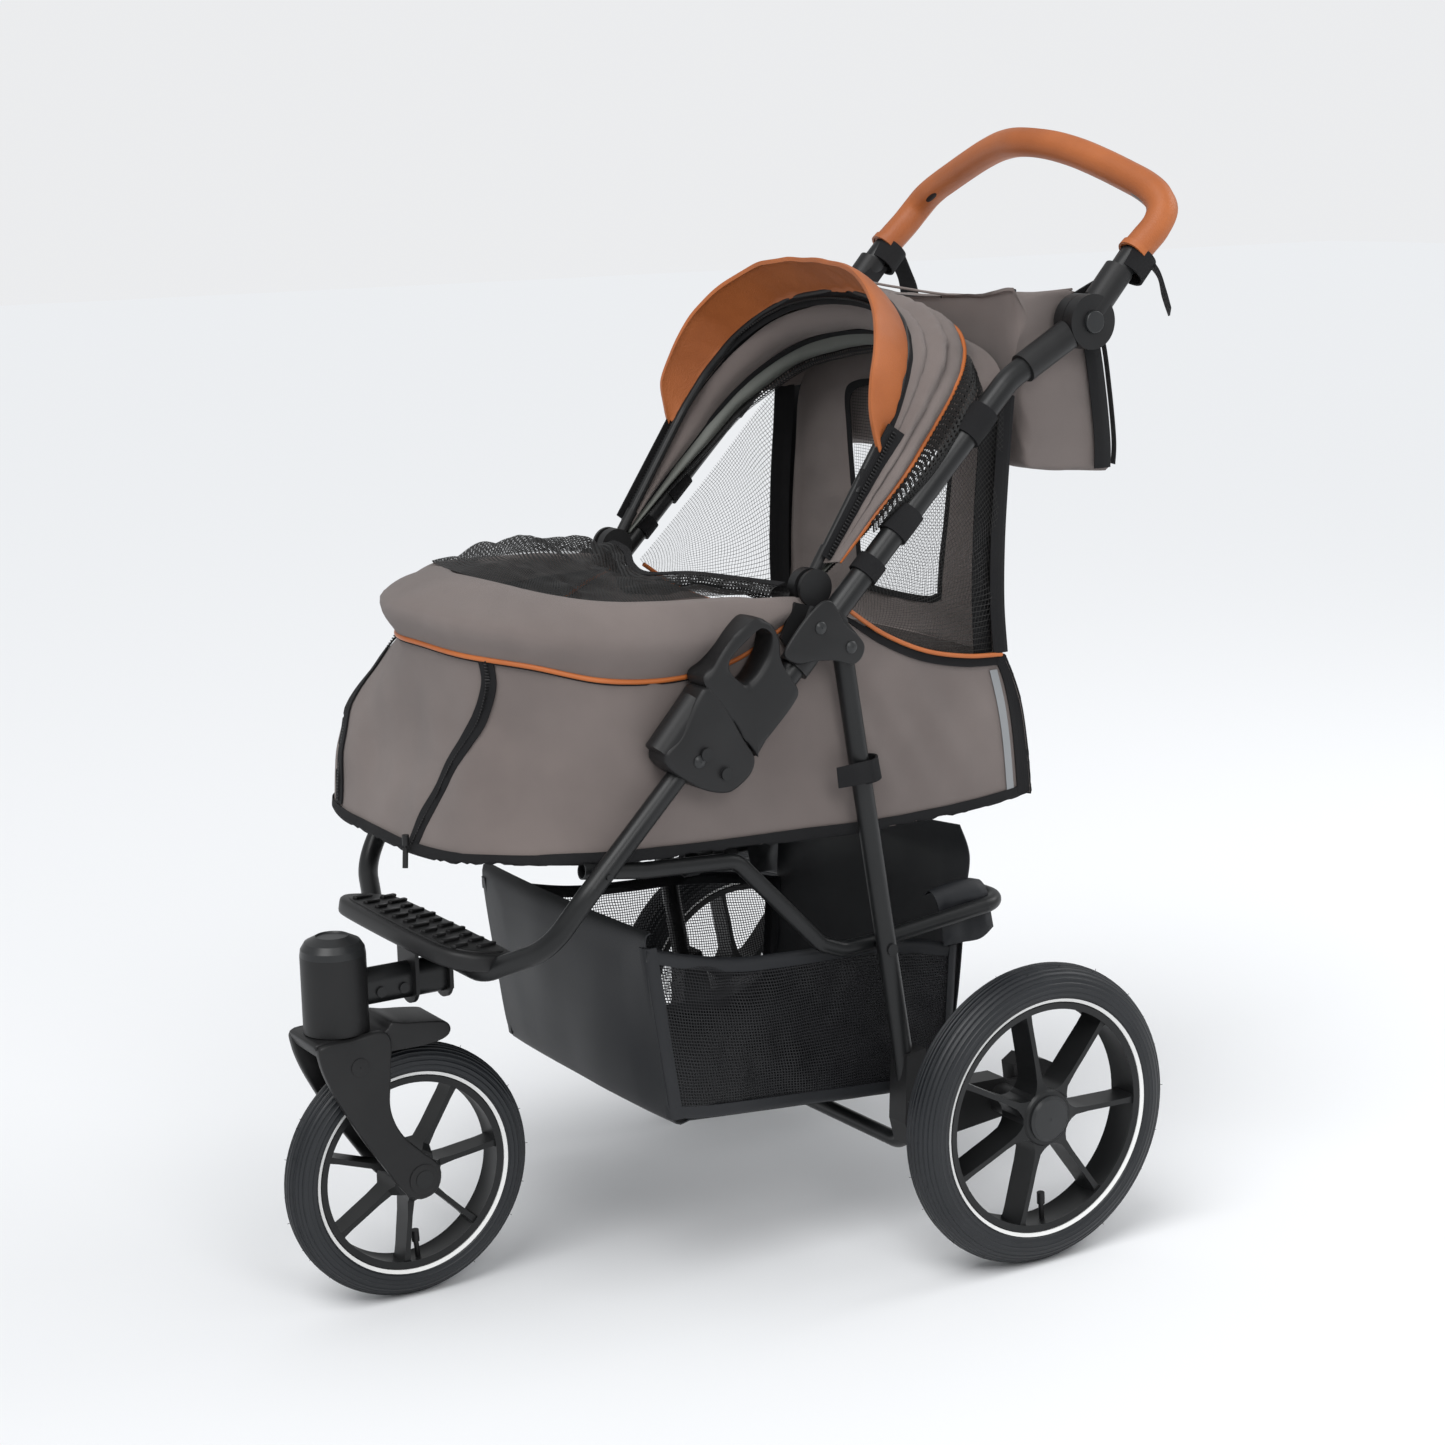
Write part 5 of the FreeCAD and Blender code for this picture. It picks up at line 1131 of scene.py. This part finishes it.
bag = cloth("bag_shell", bag_columns, 120, 120, 0, TAUPE, "upper_frame", "taupe", bag_slump, closed=True)
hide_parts("organiser_bag")
for side, sign in (("left", 1), ("right", -1)):
    cloth("bag_side_webbing_" + side, [[(sign * 192.6, y - 22, z), (sign * 194.2, y - 12, z), (sign * 192.6, y - 2, z)]
                                       for y, z in ((166, 773), (166, 800), (160, 850), (151, 900), (140, 932))],
          60, 4, 1.4, BLACK_CLOTH, "upper_frame", "black_fabric")
    cloth("bag_rear_binding_" + side, [[(sign * (191), y + 3.5, z), (sign * 181, y + 7, z)]
                                       for y, z in ((168, 775), (169, 800), (163, 850), (154, 900), (139, 936))],
          60, 3, 1.4, BLACK_CLOTH, "upper_frame", "black_fabric")
cord_line("bag_top_seam", [(186, 120, 951), (120, 121, 945), (0, 122, 939), (-120, 121, 945), (-186, 120, 951)], 1.4,
          TAUPE, "upper_frame")
cord_line("bag_front_seam", [(186, 50, 953), (120, 60, 946), (0, 68, 940), (-120, 60, 946), (-186, 50, 953)], 1.6,
          BLACK_CLOTH, "upper_frame")

# ------------------------------------------------------------------ basket under the cabin
SIDE_TOP = [(-374, 357), (-330, 343), (-270, 330), (-200, 325), (-130, 322), (-60, 312), (-14, 300)]
SIDE_LOW = [(-348, 186), (-316, 180), (-262, 175), (-200, 170), (-130, 164), (-72, 162), (-24, 180)]


def side_bow(y, z, low, top):
    """Sideways bulge of a basket side, none at its corners."""
    share = (z - low) / max(1, top - low)
    return 7 * math.sin(math.pi * min(1, max(0, share))) * math.sin(math.pi * (y + 380) / 370)


for side, sign in (("left", 1), ("right", -1)):
    net, rim_band, hem = [], [], []
    for (yt, top), (yb, low) in zip(SIDE_TOP, SIDE_LOW):
        column = []
        for share in (0, 0.35, 0.7, 1):
            y, z = yb + (yt - yb) * share, low + (top - low) * share
            column.append((sign * (168 + side_bow(y, z, low, top)), y, z))
        net.append(column)
        rim_band.append([(sign * 169.5, yt, top - 12), (sign * 170.5, yt, top - 2), (sign * 166, yt, top + 1)])
        hem.append([(sign * 164, yb, low - 2), (sign * 169.5, yb, low + 1), (sign * 171, yb, low + 12)])
    cloth("basket_side_net_" + side, net, 60, 40, 0, BASKET_NET, "basket_link", "black_fabric",
          crumple(9, 15, 4 * sign))
    cloth("basket_side_rim_" + side, rim_band, 80, 5, 1.6, BASKET_CLOTH, "basket_link", "black_fabric")
    cloth("basket_side_hem_" + side, hem, 80, 5, 1.6, BASKET_CLOTH, "basket_link", "black_fabric")
    for label, y_top, z_top, y_low, z_low in (("front", -374, 358, -349, 184), ("rear", -13, 302, -22, 180)):
        cloth("basket_corner_%s_%s" % (label, side),
              [[(sign * 171, y_low + (y_top - y_low) * k / 4 + 10 * (1 if label == "front" else -1),
                 z_low + (z_top - z_low) * k / 4),
                (sign * 170, y_low + (y_top - y_low) * k / 4, z_low + (z_top - z_low) * k / 4),
                (sign * 160, y_low + (y_top - y_low) * k / 4 - 2 * (1 if label == "front" else -1),
                 z_low + (z_top - z_low) * k / 4)] for k in range(5)], 40, 5, 1.4, BASKET_CLOTH, "basket_link",
              "black_fabric")

front_columns = []
for x in (-168, -110, -40, 40, 110, 168):
    bow = 9 * (1 - (x / 168) ** 2)
    sag = 6 * (1 - (x / 168) ** 2)
    front_columns.append([(x, -330 - bow * 0.2, 180), (x, -349 - bow * 0.5, 185), (x, -362 - bow, 262),
                          (x, -374 - bow * 0.3, 358 - sag), (x, -368, 372 - sag * 0.5)])
basket_front = cloth("basket_front_cloth", front_columns, 90, 40, 1.4, BASKET_CLOTH, "basket_link", "black_fabric",
                     crumple(6, 5, 6, Vector((0, -1, 0))))
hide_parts("basket")
floor_columns = [[(x, -332, 180), (x, -262, 174), (x, -200, 169), (x, -130, 163), (x, -72, 161), (x, -26, 178)]
                 for x in (-168, -84, 0, 84, 168)]
cloth("basket_floor_cloth", floor_columns, 40, 60, 1.4, BASKET_CLOTH, "basket_link", "black_fabric",
      crumple(4, 12, 8, Vector((0, 0, 1))))
rear_columns = []
for x in (-172, -110, -40, 40, 110, 172):
    bow = 8 * (1 - (x / 172) ** 2)
    rear_columns.append([(x, -26, 178), (x * 0.99, -14 + bow, 240), (x, -8 + bow, 300), (x, -4, 350), (x, 2, 392 - bow),
                         (x * 0.97, -6, 424 - bow)])
cloth("basket_rear_cloth", rear_columns, 90, 60, 1.4, BASKET_CLOTH, "basket_link", "black_fabric",
      crumple(8, 6, 11, Vector((0, 1, 0))))
for side, sign in (("left", 1), ("right", -1)):
    flap = []
    for y, rise in ((-46, 0), (-24, 4), (0, 6), (16, 2)):
        flap.append([(sign * 160, y, 356 + rise), (sign * 169, y, 362 + rise), (sign * 179, y + 2, 352 + rise),
                     (sign * 181, y + 6, 328), (sign * 179, y + 10, 306 + (0 if y < 10 else 10))])
    cloth("basket_corner_flap_" + side, flap, 40, 40, 1.4, BASKET_CLOTH, "basket_link", "black_fabric",
          crumple(6, 20, 3 + sign))
    for y, z in ((-330, 432), (-290, 436)):
        loop = []
        for k in range(13):
            turn = 2 * math.pi * k / 12
            loop.append([(sign * 168 + 10.5 * math.cos(turn) * sign, y + 14 * j, z + 10.5 * math.sin(turn))
                         for j in (0, 1)])
        cloth("basket_webbing_loop_%s_%d" % (side, abs(y)), loop, 30, 2, 1.4, BLACK_CLOTH, "basket_link",
              "black_fabric")

# ------------------------------------------------------------------ mat and floor inside the cabin
def smooth_loop(points, count):
    """A closed outline, rounded through its points."""
    line = through([(a, b, 0) for a, b in points], count, True)
    return [(p.x, p.y) for p in line[:-1]]


def flat_board(name, outline, low, high, edge, material, body, rest=True):
    """A flat moulded plate seen from above, drawn up from low to high, with rounded edges."""
    bpy.ops.mesh.primitive_circle_add(vertices=len(outline), radius=1, fill_type="NGON")
    piece = bpy.context.object
    piece.name = name
    for vertex, (x, y) in zip(piece.data.vertices, outline):
        vertex.co = mm(x, y, low)
    bpy.ops.object.mode_set(mode="EDIT")
    bpy.ops.mesh.select_all(action="SELECT")
    bpy.ops.mesh.extrude_region_move(TRANSFORM_OT_translate={"value": (0, 0, (high - low) / 1000)})
    bpy.ops.mesh.select_all(action="SELECT")
    bpy.ops.mesh.normals_make_consistent(inside=False)
    bpy.ops.object.mode_set(mode="OBJECT")
    if edge:
        apply_modifier(piece, "BEVEL", width=edge / 1000, segments=3, limit_method="ANGLE",
                       angle_limit=math.radians(35))
    return settle(piece, material, body, 40) if rest else piece


FLOOR_PLAN = [(170, 40), (172, -120), (172, -300), (166, -400), (138, -468), (86, -508), (0, -520), (-86, -508),
              (-138, -468), (-166, -400), (-172, -300), (-172, -120), (-170, 40), (0, 44)]
floor_board = flat_board("cabin_floor_board", smooth_loop(FLOOR_PLAN, 96), 453.5, 458, 1.2, BOARD, "front_frame")
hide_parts("cabin_floor")
mat = flat_board("cabin_mat_pad", smooth_loop([(x * 0.96, -240 + (y + 240) * 0.95) for x, y in FLOOR_PLAN], 80), 460,
                 473, 4, LINING, "front_frame", rest=False)


def plump(piece, pressure, cap):
    """Swell a padded piece as stuffed cloth does, no point moving further than the cap."""
    before = [vertex.co.copy() for vertex in piece.data.vertices]
    bpy.ops.object.select_all(action="DESELECT")
    piece.select_set(True)
    bpy.context.view_layer.objects.active = piece
    modifier = piece.modifiers.new("cloth", "CLOTH")
    modifier.settings.use_pressure = True
    modifier.settings.uniform_pressure_force = pressure
    modifier.settings.effector_weights.gravity = 0
    modifier.point_cache.frame_end = 20
    for frame_number in range(1, 21):
        bpy.context.scene.frame_set(frame_number)
    bpy.ops.object.modifier_apply(modifier=modifier.name)
    bpy.context.scene.frame_set(1)
    for vertex, start in zip(piece.data.vertices, before):
        step = vertex.co - start
        if step.length > cap:
            vertex.co = start + step * (cap / step.length)


apply_modifier(mat, "REMESH", mode="VOXEL", voxel_size=0.006)
plump(mat, 4, 0.009)
settle(mat, LINING, "front_frame", 80)
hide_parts("cabin_mat")
quilting = []
for k in range(-2, 3):
    quilting.append(cord_line("quilt", [(k * 62, y, 474) for y in (20, -120, -300, -440)], 1.2, LINING, "front_frame",
                              count=20, rest=False))
settle(join(quilting, "cabin_mat_quilting"), LINING, "front_frame")

# ------------------------------------------------------------------ bag straps on the handle arms
UP_RUN = Vector((0, math.cos(math.radians(45)), math.sin(math.radians(45))))
FOLD_POINT = (-318.0, 530.0)


def along_tube(sign, run, x=212.0):
    """A point on an upper tube, a run above the fold pivot."""
    return (sign * x, FOLD_POINT[0] + UP_RUN.y * run, FOLD_POINT[1] + UP_RUN.z * run)


def band_round(name, middle, way, radius, width, material, body, slot, thick=1.6):
    """A strap wound once round a tube."""
    way = Vector(way).normalized()
    side = Vector((1, 0, 0))
    out = way.cross(side).normalized()
    columns = []
    for k in range(17):
        turn = 2 * math.pi * k / 16
        rim_point = Vector(middle) + (side * math.cos(turn) + out * math.sin(turn)) * radius
        columns.append([tuple(rim_point + way * width * s) for s in (-0.5, 0.5)])
    return cloth(name, columns, 48, 3, thick, material, body, slot, closed=True)


first_strap = None
for side, sign in (("left", 1), ("right", -1)):
    loop = band_round("bag_strap_loop_" + side, (sign * 212, 176, 974), (0, 0.669, 0.743), 17.5, 25, BLACK_CLOTH,
                      "handle", "black_fabric", 2.2)
    cloth("bag_strap_tail_" + side, [[(sign * 222, 184, 984), (sign * 229, 194, 968), (sign * 228, 204, 948),
                                      (sign * 230, 209, 930)],
                                     [(sign * 206, 196, 976), (sign * 212, 208, 960), (sign * 210, 216, 940),
                                      (sign * 213, 222, 921)]], 10, 30, 2.0, BLACK_CLOTH, "handle", "black_fabric")
    cloth("bag_strap_web_" + side, [[(sign * 188, 118, 946), (sign * 196, 138, 958), (sign * 203, 158, 968)],
                                    [(sign * 187, 140, 938), (sign * 197, 158, 950), (sign * 206, 174, 960)]], 8, 20,
          2.0, BLACK_CLOTH, "upper_frame", "black_fabric")
    first_strap = first_strap or loop
    for k, (run, long) in enumerate(((244, 18), (300, 30), (424, 34))):
        band_round("tube_sleeve_%s_%d" % (side, k), along_tube(sign, run), UP_RUN, 13.6, long, BLACK_CLOTH,
                   "upper_frame", "black_fabric", 2.6)
    band_round("leg_strap_" + side, (sign * 212, -150, 509), (0, 0.19, -0.98), 12.4, 22, BLACK_CLOTH, "rear_frame",
               "black_fabric", 2.2)
    cloth("leg_strap_tab_" + side, [[(sign * 224, -152, 520), (sign * 225, -172, 519), (sign * 218, -188, 516)],
                                    [(sign * 224, -150, 499), (sign * 225, -170, 498), (sign * 218, -186, 496)]],
          6, 12, 2.0, BLACK_CLOTH, "rear_frame", "black_fabric")
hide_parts("bag_straps")

# ------------------------------------------------------------------ handle grip
GRIP = whole([(213, 175.5, 984), (213, 190, 996.5), (212.5, 204, 1009), (208, 216, 1024), (196, 221, 1037),
              (176, 222, 1048),
              (150, 220.5, 1058), (112, 217, 1071.5), (75, 212.5, 1083), (38, 206.5, 1091), (0, 201, 1094)])
grip = cord_line("handle_leather_wrap", GRIP, 15.6, LEATHER, "handle", count=150)
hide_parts("handle_grip")
under_line = [(x, y + 6, z - 13.6) for x, y, z in GRIP]
teeth_along("handle_stitching", under_line, 5.0, (3.4, 1.3, 1.3), PIPING, "handle")
for side, sign in (("left", 1), ("right", -1)):
    band_round("grip_end_roll_" + side, (sign * 213, 177, 985.5), (0, 0.75, 0.66), 15.6, 7, LEATHER, "handle",
               "leather",
               2.4)

# ------------------------------------------------------------------ fork
SWIVEL = -618.8
AXLE = -552.3
low_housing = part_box("swivel_housing")[0].z * 1000
LEG_SHAPE = [(-33, 262), (-32, low_housing - 3), (0, low_housing - 1.5), (37, low_housing - 1.5), (38, 240),
             (36, 205), (46, 178), (66, 156), (82, 141), (86, 127), (80, 112), (63, 107), (48, 116), (30, 142), (8, 176), (-10, 208),
             (-25, 238)]
fork_parts = []
for sign in (1, -1):
    outline = [(SWIVEL + y, z) for y, z in smooth_loop(LEG_SHAPE, 90)]
    fork_parts.append(plate("leg", outline, sign * 27, sign * 37.5, 3.0, PLASTIC, "caster_fork", rest=False))
    fork_parts.append(ring_shape("mark", [(0.5, sign * 37), (9.0, sign * 37), (9.0, sign * 38.3), (8.0, sign * 38.6),
                                          (0.5, sign * 38.6)], (0, SWIVEL + 6, 252), 40))
    fork_parts.append(ring_shape("eye", [(0.5, sign * 37), (15, sign * 37), (15, sign * 38.4), (12, sign * 39.2),
                                         (0.5, sign * 39.2)], (0, AXLE, 127.5), 40))
CROWN = [(-33, low_housing - 1.5), (-34, 272), (-26, 262), (0, 259), (40, 258.5), (76, 258), (98, 261), (106, 268),
         (102, 277), (84, 281), (60, 284), (44, 287), (36, low_housing - 1.5), (0, low_housing - 1)]
crown_outline = [(SWIVEL + y, z) for y, z in smooth_loop(CROWN, 80)]
fork_parts.append(plate("crown", crown_outline, -30, 30, 5.0, PLASTIC, "caster_fork", rest=False))
fork_body = join(fork_parts, "fork_moulding")
settle(fork_body, PLASTIC, "caster_fork", 40)
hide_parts("fork")

# ------------------------------------------------------------------ footrest
rest_low, rest_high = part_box("footrest")
rest_y = ((rest_low.y + rest_high.y) / 2 - AXLE_Y) * 1000
rest_z = rest_low.z * 1000
TRAY = [(-100, 38), (0, 39), (100, 38), (126, 33), (137, 20), (139, 0), (134, -20), (118, -34), (90, -39), (0, -41),
        (-90, -39), (-118, -34), (-134, -20), (-139, 0), (-137, 20), (-126, 33)]
tray = flat_board("footrest_tray", [(x, rest_y + y) for x, y in smooth_loop(TRAY, 96)], rest_z + 6, rest_z + 23, 4.5,
                  PLASTIC, "front_frame", rest=False)
tread = [tray]
lip = flat_board("lip", [(x * 0.93, rest_y + y * 0.82) for x, y in smooth_loop(TRAY, 96)],
                 rest_z + 22, rest_z + 24.4, 1.0, PLASTIC, "front_frame", rest=False)
tread.append(lip)
for row, (y, lean) in enumerate(((16, 0.62), (-15, 0.62))):
    for k in range(11):
        x = -112 + 21.5 * k + 6 * row
        if abs(x) > 118:
            continue
        bpy.ops.mesh.primitive_cube_add(size=1)
        rib = bpy.context.object
        reach = 13 + 4 * math.sin(2.1 * k + row)
        rib.scale = (0.0052, 2 * reach / 1000, 0.004)
        rib.rotation_euler = (0, 0, lean)
        rib.location = mm(x, rest_y + y, rest_z + 25.3)
        bpy.ops.object.transform_apply(location=True, rotation=True, scale=True)
        apply_modifier(rib, "BEVEL", width=0.0012, segments=2)
        tread.append(rib)
tread = join(tread, "footrest_moulding")
bpy.ops.object.mode_set(mode="EDIT")
bpy.ops.mesh.select_all(action="SELECT")
bpy.ops.transform.rotate(value=math.radians(11), orient_axis="X", orient_type="GLOBAL",
                         center_override=mm(0, rest_y, rest_z + 14))
bpy.ops.object.mode_set(mode="OBJECT")
settle(tread, PLASTIC, "front_frame", 40)
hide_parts("footrest")

# ------------------------------------------------------------------ latches and leg brackets
BASE = [(-381, 556), (-378, 543), (-358, 528), (-340, 517), (-318, 511), (-305, 514), (-289, 526), (-285, 541),
        (-296, 559), (-314, 590), (-333, 613), (-346, 603), (-364, 572)]
SLIDE_OUT = [(-282, 543), (-263, 564), (-240, 588), (-236, 600), (-252, 622), (-256, 648), (-265, 664), (-279, 671),
             (-295, 664), (-309, 653), (-325, 633), (-337, 618), (-312, 584), (-296, 561)]
HOLE = [(-289, 611), (-283, 615), (-277, 621), (-268, 634), (-264, 648), (-266, 656), (-277, 661), (-290, 652),
        (-302, 643), (-309, 636), (-311, 628), (-306, 620), (-300, 615), (-294, 611)]
for side, sign in (("left", 1), ("right", -1)):
    inner, outer = sign * 195, sign * 229
    base = plate("latch_cover_" + side, smooth_loop(BASE, 72), inner, outer, 4.0, PLASTIC, "front_frame",
                 rest=False)
    over = cord_line("over", [(sign * 212, -378, 553), (sign * 212, -338, 597)], 16.4, PLASTIC, "front_frame",
                     count=6, rest=False)
    base = join([base, over], "latch_cover_" + side)
    settle(base, PLASTIC, "front_frame", 45)
    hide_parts("latch_base_" + side)
    columns = []
    for (yo, zo), (yi, zi) in zip(SLIDE_OUT + SLIDE_OUT[:1], HOLE + HOLE[:1]):
        rim_line = []
        for share, x in ((0.0, inner + sign * 3), (0.06, inner), (0.85, inner), (1.0, inner + sign * 3),
                         (1.02, sign * 212), (1.0, outer - sign * 4), (0.84, outer), (0.06, outer - sign * 1),
                         (0.0, outer - sign * 6), (-0.02, sign * 212), (0.0, inner + sign * 3)):
            rim_line.append((x, yo + (yi - yo) * share, zo + (zi - zo) * share))
        columns.append(rim_line)
    slide = cloth("latch_slide_cover_" + side, columns, 84, 40, 0, PLASTIC, "latch_" + side, "black_plastic",
                  closed=True, rest=False)
    bpy.ops.object.mode_set(mode="EDIT")
    bpy.ops.mesh.select_all(action="SELECT")
    bpy.ops.mesh.normals_make_consistent(inside=False)
    bpy.ops.object.mode_set(mode="OBJECT")
    settle(slide, PLASTIC, "latch_" + side, 50)
    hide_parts("latch_slide_" + side)
    for k, (y, z) in enumerate(((-318, 530), (-346, 545))):
        settle(ring_shape("latch_rivet_%s_%d" % (side, k), [
            (0.4, outer - sign * 1), (6, outer - sign * 1), (6, outer + sign * 1), (4, outer + sign * 2.6),
            (0.4, outer + sign * 3)], (0, y, z), 32), CAP, "front_frame")
    BRACKET = [(-240, 652), (-221, 671), (-206, 680), (-196, 676), (-184, 656), (-168, 642), (-162, 632), (-166, 621),
               (-177, 616), (-196, 622), (-219, 624), (-238, 624), (-252, 634)]
    shield = plate("leg_bracket_cover_" + side, smooth_loop(BRACKET, 72), sign * 226.5, sign * 231, 1.8, PLASTIC,
                   "upper_frame", rest=False)
    hold = cord_line("hold", [along_tube(sign, 122), along_tube(sign, 186)], 16.2, PLASTIC, "upper_frame", count=6,
                     rest=False)
    settle(join([shield, hold], "leg_bracket_cover_" + side), PLASTIC, "upper_frame", 45)
    for k, (y, z) in enumerate(((-178, 633), (-212, 655))):
        settle(ring_shape("bracket_rivet_%s_%d" % (side, k), [
            (0.4, sign * 230), (6, sign * 230), (6, sign * 232), (4, sign * 233.6), (0.4, sign * 234)],
            (0, y, z), 32), CAP, "upper_frame")

# ------------------------------------------------------------------ finishes of the frame's own parts
for name, part in nodes.items():
    if part.hide_render:
        continue
    if name in ("handle_grip",):
        chosen = LEATHER
    elif name in ("front_frame_tube", "upper_tube_left", "upper_tube_right", "handle_tube", "rear_leg_left",
                  "rear_leg_right", "axle_beam", "basket_tube", "neck_tube", "canopy_bow"):
        chosen = TUBE
    elif name in ("hub_cap_left", "hub_cap_right", "housing_cap", "hinge_button_left", "hinge_button_right"):
        chosen = CAP
    elif name in ("pivot_pins", "link_rivets", "frame_rivets", "hinge_pins", "rear_axles", "front_axle_bolt",
                  "neck_screws"):
        chosen = TUBE if name != "rear_axles" else STEEL
    elif name == "cabin_floor":
        chosen = BOARD
    elif name == "cabin_mat":
        chosen = LINING
    else:
        chosen = PLASTIC
    for row in part.material_slots:
        row.material = chosen
